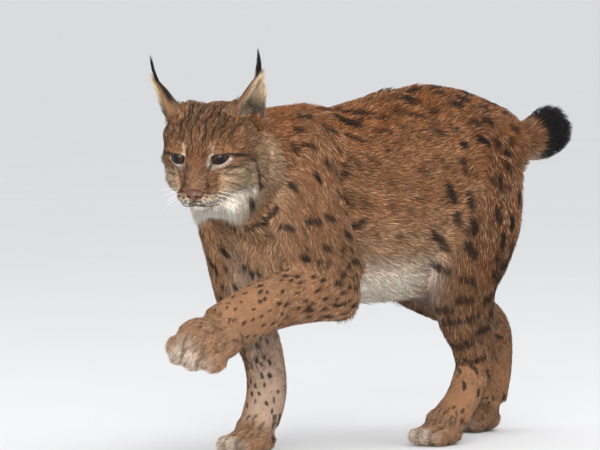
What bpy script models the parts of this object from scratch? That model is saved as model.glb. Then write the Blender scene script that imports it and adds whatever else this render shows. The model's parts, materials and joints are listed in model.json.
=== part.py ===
"""Eurasian lynx, life size, walking in its winter coat, left forepaw raised, head turned to its left.

Metres, +Z up, the animal faces -X, and its left side is -Y. The floor is z = 0.
"""

import math

import bmesh
import bpy
import numpy as np
from mathutils import Matrix, Vector
from mathutils.bvhtree import BVHTree

# Driving dimensions, in metres
WITHERS_Z = 0.585        # top of the shoulders, over the coat
CROUP_Z = 0.621          # highest point of the back
GAP = 0.0003             # what touching pieces keep between them
ORIGIN_SHIFT = Vector((0.032, 0.007, 0.0))   # brings the middle of the bounding box to x = y = 0

# The head's own axes start midway between the eyeball centres
HEAD_POINT = Vector((-0.4707, -0.064, 0.505))
HEAD_YAW = math.radians(24)      # from straight ahead, towards the left side
HEAD_PITCH = math.radians(20)    # nose down
EYE_APART = 0.0340               # eyeball centre from the middle plane
EYE_R = 0.0152
EYE_TURN = math.radians(18)      # each eye looks this far outwards
EYE_SLANT = math.radians(20)     # outer corner above inner corner
EYE_OPEN = (0.0147, 0.0056, 0.0066)   # half width, upper and lower half height of the opening
LID_R = EYE_R + 0.0016

DOWN = Vector((0, 0, -1))
LEFT_TO_RIGHT = Vector((0, 1, 0))

BODY_VOXEL = 0.0050
HEAD_VOXEL = 0.0030
BODY_TRIANGLES = 4250
HEAD_TRIANGLES = 2450
NOSE_TRIANGLES = 180
EYE_SEGMENTS = 13
END_BULGE = 0.6                  # how far a limb's ends round out, as a share of its half width
SKIN_REACH = 0.26                # how far from an inside point the skin is looked for
BELLY_REACH = 0.14


# Colour and roughness of each node, by how its name starts
RUFOUS, TAN, PALE, DARK = (0.42, 0.21, 0.09), (0.48, 0.28, 0.14), (0.62, 0.45, 0.29), (0.02, 0.017, 0.015)
PAINTS = {
    "head": (TAN, 0.85),
    "nose": ((0.30, 0.13, 0.09), 0.45),
    "eye": ((0.16, 0.11, 0.04), 0.08),
    "ear": (TAN, 0.85),
    "belly": (TAN, 0.85),
    "tail_root": (TAN, 0.85),
    "tail_tip": (DARK, 0.85),
    "paw": (PALE, 0.85),
    "": (RUFOUS, 0.85),
}


def clear_scene():
    for obj in list(bpy.data.objects):
        bpy.data.objects.remove(obj, do_unlink=True)


def add_object(name, mesh):
    obj = bpy.data.objects.new(name, mesh)
    bpy.context.scene.collection.objects.link(obj)
    return obj


def mesh_object(name, points, faces):
    mesh = bpy.data.meshes.new(name)
    mesh.from_pydata([tuple(p) for p in points], [], faces)
    mesh.update()
    return add_object(name, mesh)


def evaluate(obj):
    """Applies the object's modifiers to its mesh."""
    bpy.context.view_layer.update()
    graph = bpy.context.evaluated_depsgraph_get()
    mesh = bpy.data.meshes.new_from_object(obj.evaluated_get(graph))
    obj.modifiers.clear()
    old = obj.data
    obj.data = mesh
    bpy.data.meshes.remove(old)
    return obj


def spline(values, steps):
    """A Catmull-Rom curve through the values, with that many steps between each two."""
    values = np.asarray(values, float)
    padded = np.vstack([2 * values[0] - values[1], values, 2 * values[-1] - values[-2]])
    rows = []
    for i in range(1, len(padded) - 2):
        a, b, c, d = padded[i - 1: i + 3]
        for t in np.linspace(0, 1, steps, endpoint=False):
            rows.append(0.5 * (2 * b + (c - a) * t + (2 * a - 5 * b + 4 * c - d) * t**2
                               + (3 * b - a - 3 * c + d) * t**3))
    rows.append(values[-1])
    return np.array(rows)


def ring_faces(rings, sides):
    """Faces of a closed tube of rings that runs from a first pole to a last pole."""
    faces = []
    for k in range(rings - 1):
        for i in range(sides):
            j = (i + 1) % sides
            faces.append((k * sides + i, k * sides + j, (k + 1) * sides + j, (k + 1) * sides + i))
    first, last = rings * sides, rings * sides + 1
    for i in range(sides):
        j = (i + 1) % sides
        faces.append((first, j, i))
        faces.append((last, (rings - 1) * sides + i, (rings - 1) * sides + j))
    return faces


def limb(name, stations, across=Vector((0, 1, 0)), sides=20, steps=5):
    """A limb or trunk with oval sections. Each station is (x, y, z, half depth, half width across)."""
    rows = spline(stations, steps)
    centres = rows[:, :3]
    tangents = np.gradient(centres, axis=0)
    points = []
    for centre, tangent, row in zip(centres, tangents, rows):
        t = Vector(tangent).normalized()
        side = (across - across.dot(t) * t).normalized()
        front = t.cross(side)
        for i in range(sides):
            angle = 2 * math.pi * i / sides
            ahead, aside = row[3] * math.cos(angle), row[4] * math.sin(angle)
            points.append(Vector(centre) + front * ahead + side * aside)
    for end, way in ((0, -1), (-1, 1)):
        bulge = END_BULGE * min(rows[end][3], rows[end][4])
        points.append(Vector(centres[end]) + Vector(tangents[end]).normalized() * (way * bulge))
    obj = mesh_object(name, points, ring_faces(len(rows), sides))
    face_out(obj)
    return obj


def ball(name, centre, radii, axes=Matrix.Identity(3), segments=24):
    """An ellipsoid with its radii along the given axes."""
    mesh = bpy.data.meshes.new(name)
    made = bmesh.new()
    bmesh.ops.create_uvsphere(made, u_segments=segments, v_segments=segments * 2 // 3, radius=1.0)
    made.to_mesh(mesh)
    made.free()
    obj = add_object(name, mesh)
    place = Matrix.Translation(centre) @ axes.to_4x4() @ Matrix.Diagonal((*radii, 1))
    mesh.transform(place)
    return obj


def face_out(obj):
    made = bmesh.new()
    made.from_mesh(obj.data)
    bmesh.ops.recalc_face_normals(made, faces=made.faces)
    made.to_mesh(obj.data)
    made.free()


def join(name, pieces):
    """One object of all the pieces' meshes, still overlapping."""
    made = bmesh.new()
    for piece in pieces:
        made.from_mesh(piece.data)
        bpy.data.objects.remove(piece)
    mesh = bpy.data.meshes.new(name)
    made.to_mesh(mesh)
    made.free()
    return add_object(name, mesh)


def flesh(name, pieces, voxel, rounds, triangles):
    """Fuses the pieces into one closed skin and rounds the creases between them."""
    obj = join(name, pieces)
    remesh = obj.modifiers.new("Fuse", "REMESH")
    remesh.mode = "VOXEL"
    remesh.voxel_size = voxel
    smooth = obj.modifiers.new("Round", "SMOOTH")
    smooth.factor = 0.5
    smooth.iterations = rounds
    evaluate(obj)
    return thinned(obj, triangles)


def thinned(obj, triangles):
    count = sum(len(p.vertices) - 2 for p in obj.data.polygons)
    thin = obj.modifiers.new("Thin", "DECIMATE")
    thin.ratio = min(1.0, triangles / count)
    return evaluate(obj)


def half_spaces(name, planes, grow=0.0):
    """The convex block where (point - p) . n <= grow for every plane (p, n)."""
    made = bmesh.new()
    bmesh.ops.create_cube(made, size=4.0)
    for point, normal in planes:
        n = Vector(normal).normalized()
        everything = made.verts[:] + made.edges[:] + made.faces[:]
        cut = bmesh.ops.bisect_plane(made, geom=everything, plane_co=Vector(point) + n * grow,
                                     plane_no=n, clear_outer=True)
        edges = [e for e in cut["geom_cut"] if isinstance(e, bmesh.types.BMEdge)]
        bmesh.ops.contextual_create(made, geom=edges)
    bmesh.ops.recalc_face_normals(made, faces=made.faces)
    mesh = bpy.data.meshes.new(name)
    made.to_mesh(mesh)
    made.free()
    obj = add_object(name, mesh)
    obj.hide_render = True
    obj.display_type = "WIRE"
    return obj


def boolean(obj, cutter, operation, solver="EXACT"):
    modifier = obj.modifiers.new("Cut", "BOOLEAN")
    modifier.operation = operation
    modifier.solver = solver
    modifier.object = cutter
    evaluate(obj)
    bpy.data.objects.remove(cutter)
    return obj


def copy_of(obj, name):
    return add_object(name, obj.data.copy())


def keep_largest(obj):
    """Keeps only the largest closed surface of the mesh."""
    made = bmesh.new()
    made.from_mesh(obj.data)
    unseen = set(made.verts)
    islands = []
    while unseen:
        stack = [unseen.pop()]
        island = set(stack)
        while stack:
            for edge in stack.pop().link_edges:
                for vert in edge.verts:
                    if vert in unseen:
                        unseen.discard(vert)
                        island.add(vert)
                        stack.append(vert)
        islands.append(island)
    largest = max(islands, key=len)
    extra = [v for island in islands if island is not largest for v in island]
    bmesh.ops.delete(made, geom=extra, context="VERTS")
    made.to_mesh(obj.data)
    made.free()
    return obj


def lock(root, tip, face, wide, thick, bend=0.18):
    """A flat tapered lock of hair that bends on its way from root to tip. Its flat side looks along face."""
    root, tip = Vector(root), Vector(tip)
    along = tip - root
    length = along.length
    along.normalize()
    face = (Vector(face) - along * Vector(face).dot(along)).normalized()
    side = along.cross(face)
    points, faces = [], []
    for t, w in ((0.0, 0.70), (0.38, 1.0), (0.76, 0.56)):
        centre = root + along * (length * t) + face * (bend * length * (0.25 - (t - 0.5) ** 2) * 0.9)
        for a, b in ((-0.5, 0.0), (0.0, 0.5), (0.5, 0.0), (0.0, -0.5)):
            points.append(centre + side * (a * w * wide) + face * (b * w * thick))
    points += [root - along * (0.1 * length), tip]
    obj = mesh_object("lock", points, ring_faces(3, 4))
    face_out(obj)
    return obj


def spread(low, high, count):
    return np.linspace(low, high, count)


class Surface:
    """Finds points on an object's skin, seen from a place inside it."""

    def __init__(self, obj):
        made = bmesh.new()
        made.from_mesh(obj.data)
        self.tree = BVHTree.FromBMesh(made)
        made.free()

    def out(self, inside, way, reach):
        """The last skin point within reach of a place inside, going that way, and its normal."""
        way = Vector(way).normalized()
        point, normal, _, _ = self.tree.ray_cast(Vector(inside) + way * reach, -way, reach)
        return point, normal


def on_skin(surface, inside, way, flow, length, wide, thick, lift=0.35, reach=SKIN_REACH, sink=0.30):
    """A lock rooted where a ray leaves the skin, lying along flow and lifted a little off it."""
    point, normal = surface.out(inside, way, reach)
    flow = Vector(flow)
    flow = (flow - normal * flow.dot(normal)).normalized()
    start = point - normal * (thick * 0.9) - flow * (length * sink)
    tip = point + (flow * math.cos(lift) + normal * math.sin(lift)) * (length * (1 - sink))
    return lock(start, tip, normal, wide, thick)


def with_locks(obj, locks):
    """Unites all the locks with the object and leaves one closed surface."""
    holder = bpy.data.collections.new("locks")
    bpy.context.scene.collection.children.link(holder)
    for piece in locks:
        bpy.context.scene.collection.objects.unlink(piece)
        holder.objects.link(piece)
    modifier = obj.modifiers.new("Locks", "BOOLEAN")
    modifier.operation = "UNION"
    modifier.solver = "EXACT"
    modifier.operand_type = "COLLECTION"
    modifier.collection = holder
    evaluate(obj)
    for piece in locks:
        bpy.data.objects.remove(piece)
    bpy.data.collections.remove(holder)
    return keep_largest(obj)


def take(obj, name, planes):
    """A new node: the part of obj inside the planes. What is left of obj keeps a gap to it."""
    node = boolean(copy_of(obj, name), half_spaces("cell", planes), "INTERSECT")
    boolean(obj, half_spaces("cell", planes, grow=GAP), "DIFFERENCE")
    return keep_largest(node)


def head_axes():
    ahead = Vector((-math.cos(HEAD_YAW), -math.sin(HEAD_YAW), 0))
    left = Vector((0, 0, 1)).cross(ahead)
    forward = ahead * math.cos(HEAD_PITCH) - Vector((0, 0, 1)) * math.sin(HEAD_PITCH)
    return forward, left, forward.cross(left)


FORWARD, LEFTWARD, UPWARD = head_axes()
HEAD_TURN = Matrix((FORWARD, LEFTWARD, UPWARD)).transposed()


def on_head(f, l, u):
    """A point given in centimetres forward, left and up from between the eyes."""
    return HEAD_POINT + HEAD_TURN @ Vector((f, l, u)) * 0.01


def head_ball(name, centre, radii):
    return ball(name, on_head(*centre), [r * 0.01 for r in radii], HEAD_TURN)


def head_limb(name, stations, sides=20):
    """Stations in head centimetres: forward, left, up, half height, half width."""
    rows = [(*on_head(*s[:3]), s[3] * 0.01, s[4] * 0.01) for s in stations]
    return limb(name, rows, across=LEFTWARD, sides=sides)


def neck_piece():
    return limb("neck_core", [
        (-0.16, 0.0, 0.455, 0.120, 0.095),
        (-0.24, 0.0, 0.462, 0.122, 0.097),
        (-0.32, -0.012, 0.482, 0.098, 0.090),
        (-0.385, -0.034, 0.495, 0.082, 0.082),
        (-0.44, -0.055, 0.492, 0.070, 0.068),
    ])


def trunk_pieces():
    """Chest, belly and rump. Each row is x, top of the back, bottom of the belly and half width."""
    profile = [
        (-0.325, 0.470, 0.360, 0.050),
        (-0.290, 0.540, 0.312, 0.086),
        (-0.205, WITHERS_Z, 0.270, 0.103),
        (-0.120, 0.576, 0.254, 0.114),
        (-0.020, 0.591, 0.246, 0.118),
        (0.080, 0.612, 0.252, 0.112),
        (0.150, CROUP_Z, 0.300, 0.103),
        (0.215, 0.608, 0.355, 0.095),
        (0.275, 0.582, 0.405, 0.084),
        (0.322, 0.556, 0.435, 0.064),
    ]
    rows = [(x, 0.0, (top + low) / 2, (top - low) / 2, wide) for x, top, low, wide in profile]
    return [limb("trunk", rows, sides=28)]


def foreleg_left_pieces():
    upper = [
        (-0.205, -0.055, 0.520, 0.060, 0.040),
        (-0.245, -0.080, 0.435, 0.078, 0.050),
        (-0.235, -0.096, 0.350, 0.078, 0.050),
        (-0.190, -0.103, 0.285, 0.062, 0.046),
    ]
    lower = [
        (-0.180, -0.105, 0.279, 0.058, 0.045),
        (-0.262, -0.104, 0.276, 0.054, 0.044),
        (-0.345, -0.100, 0.262, 0.049, 0.042),
        (-0.405, -0.094, 0.241, 0.048, 0.042),
        (-0.452, -0.088, 0.221, 0.046, 0.044),
    ]
    return [limb("upper_arm_left", upper), limb("forearm_left", lower)]


def foreleg_right_pieces():
    rows = [
        (-0.205, 0.055, 0.520, 0.060, 0.040),
        (-0.248, 0.082, 0.420, 0.078, 0.050),
        (-0.243, 0.086, 0.325, 0.062, 0.047),
        (-0.232, 0.074, 0.235, 0.050, 0.042),
        (-0.208, 0.060, 0.160, 0.040, 0.037),
        (-0.205, 0.054, 0.100, 0.038, 0.038),
        (-0.222, 0.053, 0.050, 0.034, 0.040),
    ]
    return [limb("foreleg_right_core", rows)]


def hindleg_left_pieces():
    rows = [
        (0.205, -0.055, 0.480, 0.100, 0.050),
        (0.163, -0.079, 0.385, 0.098, 0.056),
        (0.128, -0.086, 0.290, 0.084, 0.050),
        (0.136, -0.082, 0.225, 0.064, 0.043),
        (0.160, -0.076, 0.172, 0.048, 0.037),
        (0.170, -0.071, 0.128, 0.041, 0.035),
        (0.145, -0.069, 0.078, 0.033, 0.036),
        (0.112, -0.069, 0.045, 0.032, 0.040),
    ]
    return [limb("hindleg_left_core", rows)]


def hindleg_right_pieces():
    upper = [
        (0.220, 0.055, 0.475, 0.100, 0.050),
        (0.208, 0.078, 0.385, 0.102, 0.055),
        (0.178, 0.083, 0.300, 0.080, 0.050),
        (0.185, 0.082, 0.262, 0.062, 0.045),
    ]
    lower = [
        (0.165, 0.083, 0.285, 0.062, 0.046),
        (0.240, 0.080, 0.247, 0.055, 0.042),
        (0.310, 0.072, 0.212, 0.044, 0.037),
        (0.362, 0.067, 0.176, 0.038, 0.034),
        (0.370, 0.065, 0.115, 0.032, 0.034),
        (0.352, 0.065, 0.055, 0.032, 0.040),
    ]
    return [limb("thigh_right_core", upper), limb("shank_right_core", lower)]


def tail_pieces():
    rows = [
        (0.270, 0.0, 0.500, 0.036, 0.036),
        (0.325, 0.0, 0.505, 0.034, 0.034),
        (0.370, 0.0, 0.507, 0.036, 0.036),
        (0.405, 0.0, 0.512, 0.041, 0.038),
        (0.432, 0.0, 0.522, 0.044, 0.038),
        (0.456, 0.0, 0.529, 0.036, 0.032),
        (0.467, 0.0, 0.532, 0.020, 0.020),
    ]
    return [limb("tail_core", rows)]


def floor_block():
    return half_spaces("floor", [((0, 0, 0), (0, 0, -1))])


def paw_pieces(name, palm, ahead, down, size=1.0):
    """A broad furry paw: a palm and four toes, with axes pointing ahead and to the sole."""
    ahead = Vector(ahead).normalized()
    across = Vector(down).cross(ahead).normalized()
    down = ahead.cross(across).normalized()
    axes = Matrix((ahead, across, down)).transposed()
    pieces = [ball(f"{name}_palm", palm, [size * r for r in (0.046, 0.041, 0.028)], axes)]
    for i, (reach, aside, drop) in enumerate(((0.030, -0.0305, 0.007), (0.046, -0.0108, 0.004),
                                              (0.046, 0.0108, 0.004), (0.030, 0.0305, 0.007))):
        centre = Vector(palm) + (ahead * reach + across * aside + down * drop) * size
        pieces.append(ball(f"{name}_toe{i}", centre, [size * r for r in (0.0235, 0.0142, 0.0185)], axes))
    return pieces


PAWS = {
    "fl": ((-0.474, -0.084, 0.207), (-0.93, 0.06, -0.38), (-0.38, 0, -0.93), 1.16),
    "fr": ((-0.240, 0.053, 0.021), (-1, 0.03, 0), DOWN, 1.0),
    "hl": ((0.090, -0.069, 0.021), (-1, 0.0, 0), DOWN, 0.95),
    "hr": ((0.326, 0.065, 0.021), (-1, 0.05, 0), DOWN, 0.95),
}


def body_locks(body):
    """Longer hair under the belly, behind the thighs and elbows, and around the tail."""
    skin = Surface(body)
    random = np.random.default_rng(11)
    back, down = Vector((1, 0, 0)), DOWN
    locks = []
    for aside, last, count in ((-0.034, 0.030, 5), (0.0, 0.092, 7), (0.034, 0.070, 6)):
        for x in spread(-0.090, last, count):
            x += random.uniform(-0.006, 0.006)
            way = down + LEFT_TO_RIGHT * (aside * 4)
            length = 0.052 * random.uniform(0.85, 1.15)
            inside, flow = (x, aside, 0.36), back + down * 0.4
            locks.append(on_skin(skin, inside, way, flow, length, 0.0230, 0.0050, 0.42, BELLY_REACH))
    for side in (-1, 1):
        for z, x in ((0.455, 0.21), (0.415, 0.19), (0.375, 0.17)):
            length = 0.040 * random.uniform(0.85, 1.15)
            way = back + LEFT_TO_RIGHT * (0.15 * side)
            flow = down * 0.9 + back * 0.35
            locks.append(on_skin(skin, (x, 0.080 * side, z), way, flow, length, 0.0210, 0.0050, 0.38))
    for x, aside in ((-0.215, -0.103), (-0.190, -0.103)):
        way, flow = down + back * 0.5, back + down * 0.6
        locks.append(on_skin(skin, (x, aside, 0.29), way, flow, 0.034, 0.0200, 0.0046, 0.35))
    for turn in spread(0, 2 * math.pi, 9)[:-1]:
        way = Vector((0.15, math.sin(turn), math.cos(turn)))
        length = 0.040 * random.uniform(0.85, 1.1)
        locks.append(on_skin(skin, (0.425, 0, 0.520), way, back, length, 0.0210, 0.0050, 0.10))
    for turn in spread(0, 2 * math.pi, 5)[:-1]:
        way = Vector((1, 0.5 * math.sin(turn), 0.5 * math.cos(turn)))
        locks.append(on_skin(skin, (0.430, 0, 0.524), way, back + way * 0.2, 0.026, 0.0170, 0.0046, 0.8))
    return locks


def body_mesh():
    pieces = [neck_piece(), *trunk_pieces(), *foreleg_left_pieces(), *foreleg_right_pieces()]
    pieces += [*hindleg_left_pieces(), *hindleg_right_pieces(), *tail_pieces()]
    for name, (palm, ahead, down, size) in PAWS.items():
        pieces += paw_pieces(name, palm, ahead, down, size)
    body = flesh("body", pieces, BODY_VOXEL, 7, BODY_TRIANGLES)
    with_locks(body, body_locks(body))
    return keep_largest(boolean(body, floor_block(), "INTERSECT"))


# A point of the cut between head and neck, and the way it faces
NECK_PLANE = (Vector((-0.368, -0.022, 0.480)), Vector((-0.90, -0.30, 0.30)))


def head_mesh():
    pieces = [
        neck_piece(),
        head_ball("cranium", (-5.8, 0, 0.8), (6.6, 7.2, 5.8)),
        head_ball("nape", (-9.8, 0, 0.4), (5.0, 6.8, 6.0)),
        head_ball("forehead", (-2.6, 0, 2.0), (3.7, 4.9, 3.7)),
        head_limb("bridge", [(-0.8, 0, 2.2, 2.0, 3.0), (1.5, 0, 0.2, 2.0, 2.4),
                             (3.3, 0, -2.1, 1.8, 2.0), (4.4, 0, -4.2, 1.4, 1.6)]),
        head_ball("muzzle", (2.2, 0, -4.4), (2.9, 3.3, 2.8)),
        head_ball("chin", (2.7, 0, -7.4), (1.8, 2.4, 1.4)),
        head_ball("jaw", (-1.4, 0, -6.4), (4.4, 4.1, 2.9)),
        head_ball("throat", (-5.0, 0, -6.6), (4.8, 5.4, 4.4)),
        head_ball("beard", (-1.6, 0, -7.6), (3.0, 3.6, 2.0)),
    ]
    for way in (-1, 1):
        pieces += [
            head_ball(f"pad{way}", (3.3, 1.8 * way, -5.5), (2.1, 2.15, 1.7)),
            head_ball(f"lip{way}", (1.4, 3.0 * way, -5.9), (2.5, 1.6, 1.7)),
            head_ball(f"side{way}", (1.2, 1.9 * way, -2.2), (2.4, 1.9, 2.5)),
            head_ball(f"cheek{way}", (-1.4, 3.9 * way, -3.8), (3.7, 3.0, 3.5)),
            head_ball(f"under_eye{way}", (-0.5, 3.6 * way, -1.9), (1.9, 2.7, 1.8)),
            head_ball(f"eye_bed{way}", (-1.1, 3.3 * way, 0.1), (2.35, 2.8, 2.4)),
            head_ball(f"side_head{way}", (-4.0, 4.2 * way, -0.8), (4.9, 3.7, 5.4)),
            head_ball(f"brow{way}", (-0.6, 3.1 * way, 2.0), (1.8, 2.7, 1.2)),
            head_ball(f"temple{way}", (-4.6, 5.7 * way, 1.3), (3.3, 2.5, 3.2)),
            head_limb(f"ruff{way}", [(-5.6, 6.2 * way, 1.2, 2.6, 1.6), (-6.4, 6.6 * way, -2.2, 3.0, 2.0),
                                     (-6.8, 6.0 * way, -6.0, 3.0, 2.0), (-6.8, 4.6 * way, -8.8, 2.0, 1.6)]),
        ]
    return flesh("head", pieces, HEAD_VOXEL, 26, HEAD_TRIANGLES)


def eye_place(way):
    return on_head(0, EYE_APART * 100 * way, 0)


def eye_axes(way):
    """Looking direction, outward and up of one eye."""
    look = (FORWARD * math.cos(EYE_TURN) + LEFTWARD * way * math.sin(EYE_TURN)).normalized()
    out = (LEFTWARD * way - look * (LEFTWARD * way).dot(look)).normalized()
    up = UPWARD
    return (look, out * math.cos(EYE_SLANT) + up * math.sin(EYE_SLANT),
            up * math.cos(EYE_SLANT) - out * math.sin(EYE_SLANT))


def almond(name, way):
    """A prism whose section is the opening between the lids."""
    look, out, up = eye_axes(way)
    centre = eye_place(way)
    wide, above, below = EYE_OPEN
    points, sides = [], 24
    for depth in (0.001, 0.05):
        for i in range(sides):
            angle = 2 * math.pi * i / sides
            high = above if math.sin(angle) > 0 else below
            slim = abs(math.sin(angle)) ** 1.25 * math.copysign(1, math.sin(angle))
            points.append(centre + look * depth + out * wide * math.cos(angle) + up * high * slim)
    points += [centre + look * 0.001, centre + look * 0.05]
    obj = mesh_object(name, points, ring_faces(2, sides))
    face_out(obj)
    return obj


EARS = {
    1: ((-7.2, 5.4, 2.2), (-9.8, 8.3, 10.9), (-9.9, 8.3, 15.2)),
    -1: ((-6.2, -6.4, 2.2), (-8.2, -9.9, 10.4), (-8.5, -10.2, 14.4)),
}


def ear(name, way):
    """A cupped ear, its opening turned outwards and a little forward, with the plain form of its tuft."""
    base, tip, tuft_tip = (on_head(*place) for place in EARS[way])
    axis = (tip - base).normalized()
    length = (tip - base).length
    opening = FORWARD * 0.45 + LEFTWARD * way * 0.89
    opening = (opening - axis * opening.dot(axis)).normalized()
    side = axis.cross(opening).normalized()
    half_turn = math.radians(108)
    arc = 9
    rows = [(0.0, 0.0300, 0.0250), (0.16, 0.0310, 0.0245), (0.34, 0.0290, 0.0215), (0.54, 0.0235, 0.0165),
            (0.74, 0.0155, 0.0110), (0.90, 0.0074, 0.0055), (1.0, 0.0028, 0.0024)]
    points = []
    for t, wide, deep in rows:
        thick = 0.0036 - 0.0016 * t
        centre = base + axis * (length * t)
        for grow, angles in ((0.0, np.linspace(-half_turn, half_turn, arc)),
                             (thick, np.linspace(half_turn, -half_turn, arc))):
            for angle in angles:
                points.append(centre + side * (math.sin(angle) * max(wide - grow, 0.0006))
                              - opening * (math.cos(angle) * max(deep - grow, 0.0006)))
    sides, steps = 2 * arc, len(rows)
    faces = ring_faces(steps, sides)[:(steps - 1) * sides]
    for i in range(arc - 1):
        low = (i, i + 1, sides - 2 - i, sides - 1 - i)
        faces += [low, tuple((steps - 1) * sides + j for j in reversed(low))]
    obj = mesh_object(name, points, faces)
    face_out(obj)
    root = tip - axis * 0.016
    blades = []
    for short, lean in ((1.0, 0.0), (0.80, 0.0045), (0.72, -0.0040)):
        end = tip.lerp(tuft_tip, short) + side * lean
        blades.append(lock(root, end, opening, 0.0085, 0.0046, bend=0.06))
    return with_locks(obj, blades)


def nose_pad(name):
    pieces = [head_ball("nose_top", (4.75, 0, -4.45), (1.15, 1.3, 0.95)),
              head_ball("nose_foot", (4.85, 0, -5.05), (0.85, 0.55, 0.75))]
    for way in (-1, 1):
        pieces.append(head_ball("nose_wing", (4.45, 0.9 * way, -4.75), (1.0, 0.9, 0.75)))
    pad = join(name, pieces)
    remesh = pad.modifiers.new("Fuse", "REMESH")
    remesh.mode = "VOXEL"
    remesh.voxel_size = 0.0018
    smooth = pad.modifiers.new("Round", "SMOOTH")
    smooth.factor = 0.5
    smooth.iterations = 6
    return evaluate(pad)


def grown(obj, by):
    """A copy of the object pushed out along its normals."""
    copy = copy_of(obj, "grown")
    push = copy.modifiers.new("Push", "DISPLACE")
    push.strength = by
    push.mid_level = 0.0
    return evaluate(copy)


def mouth_line():
    """A thin groove between the lips, and the cleft under the nose."""
    line = [(0.4, -4.2, -6.0), (2.2, -3.7, -6.7), (4.0, -2.2, -7.0), (4.7, -1.0, -6.8), (4.9, 0, -6.5),
            (4.7, 1.0, -6.8), (4.0, 2.2, -7.0), (2.2, 3.7, -6.7), (0.4, 4.2, -6.0)]
    cleft = [(5.35, 0, -5.5), (5.25, 0, -6.0), (5.0, 0, -6.5)]
    lips = limb("lips", [(*on_head(*point), 0.0016, 0.0045) for point in line], FORWARD, 8, 3)
    fold = limb("fold", [(*on_head(*point), 0.0028, 0.0010) for point in cleft], LEFTWARD, 8, 2)
    return lips, fold


def head_locks(head):
    """The cheek ruff and the beard."""
    skin = Surface(head)
    random = np.random.default_rng(7)
    locks = []
    rows = ((-4.0, 0.038, 0.10, 112, 150, 4), (-5.8, 0.046, 0.22, 98, 158, 6),
            (-7.6, 0.050, 0.32, 84, 160, 7))
    for way in (-1, 1):
        for ahead, length, lift, first, last, count in rows:
            for turn in spread(first, last, count):
                angle = math.radians(turn + random.uniform(-3, 3))
                out = LEFTWARD * way * math.sin(angle) + UPWARD * math.cos(angle)
                flow = -UPWARD * 0.75 - FORWARD * 0.75 + LEFTWARD * way * 0.12
                reach = length * random.uniform(0.88, 1.12)
                inside = on_head(ahead, 0, -2.5)
                locks.append(on_skin(skin, inside, out, flow, reach, 0.0185, 0.0046, lift))
    for ahead, length, aside, count in ((0.6, 0.032, 2.2, 4), (-1.6, 0.052, 3.4, 5), (-4.0, 0.066, 4.2, 6)):
        for across in spread(-aside, aside, count):
            flow = -UPWARD * 0.9 - FORWARD * 0.55 + LEFTWARD * (0.08 * across)
            reach = length * random.uniform(0.9, 1.1)
            way = -UPWARD + LEFTWARD * (0.05 * across)
            inside = on_head(ahead, across, -5.0)
            locks.append(on_skin(skin, inside, way, flow, reach, 0.0180, 0.0046, 0.55))
    return locks


def build_head(neck=None):
    head = head_mesh()
    for side, way in (("left", 1), ("right", -1)):
        shell = ear(f"ear_{side}", way)
        boolean(shell, grown(head, GAP), "DIFFERENCE")
        keep_largest(shell)
    for way in (-1, 1):
        boolean(head, ball("lid", eye_place(way), (LID_R,) * 3, HEAD_TURN, 18), "UNION")
        boolean(head, almond("almond", way), "DIFFERENCE")
        boolean(head, ball("socket", eye_place(way), (EYE_R + GAP,) * 3, HEAD_TURN, 18), "DIFFERENCE")
    for groove in mouth_line():
        boolean(head, groove, "DIFFERENCE")
    point, normal = NECK_PLANE
    boolean(head, half_spaces("back", [(point, -normal)], grow=-GAP / 2), "INTERSECT")
    with_locks(head, head_locks(head))
    if neck:
        boolean(head, grown(neck, GAP), "DIFFERENCE")
    nose = thinned(nose_pad("nose"), NOSE_TRIANGLES)
    boolean(head, grown(nose, GAP), "DIFFERENCE")
    for way in (-1, 1):
        nostril = ball("nostril", on_head(5.35, 0.66 * way, -4.85), (0.0062, 0.0030, 0.0024), HEAD_TURN, 9)
        boolean(nose, nostril, "DIFFERENCE")
    keep_largest(head)
    for side, way in (("left", 1), ("right", -1)):
        ball(f"eye_{side}", eye_place(way), (EYE_R,) * 3, HEAD_TURN, EYE_SEGMENTS)


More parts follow.
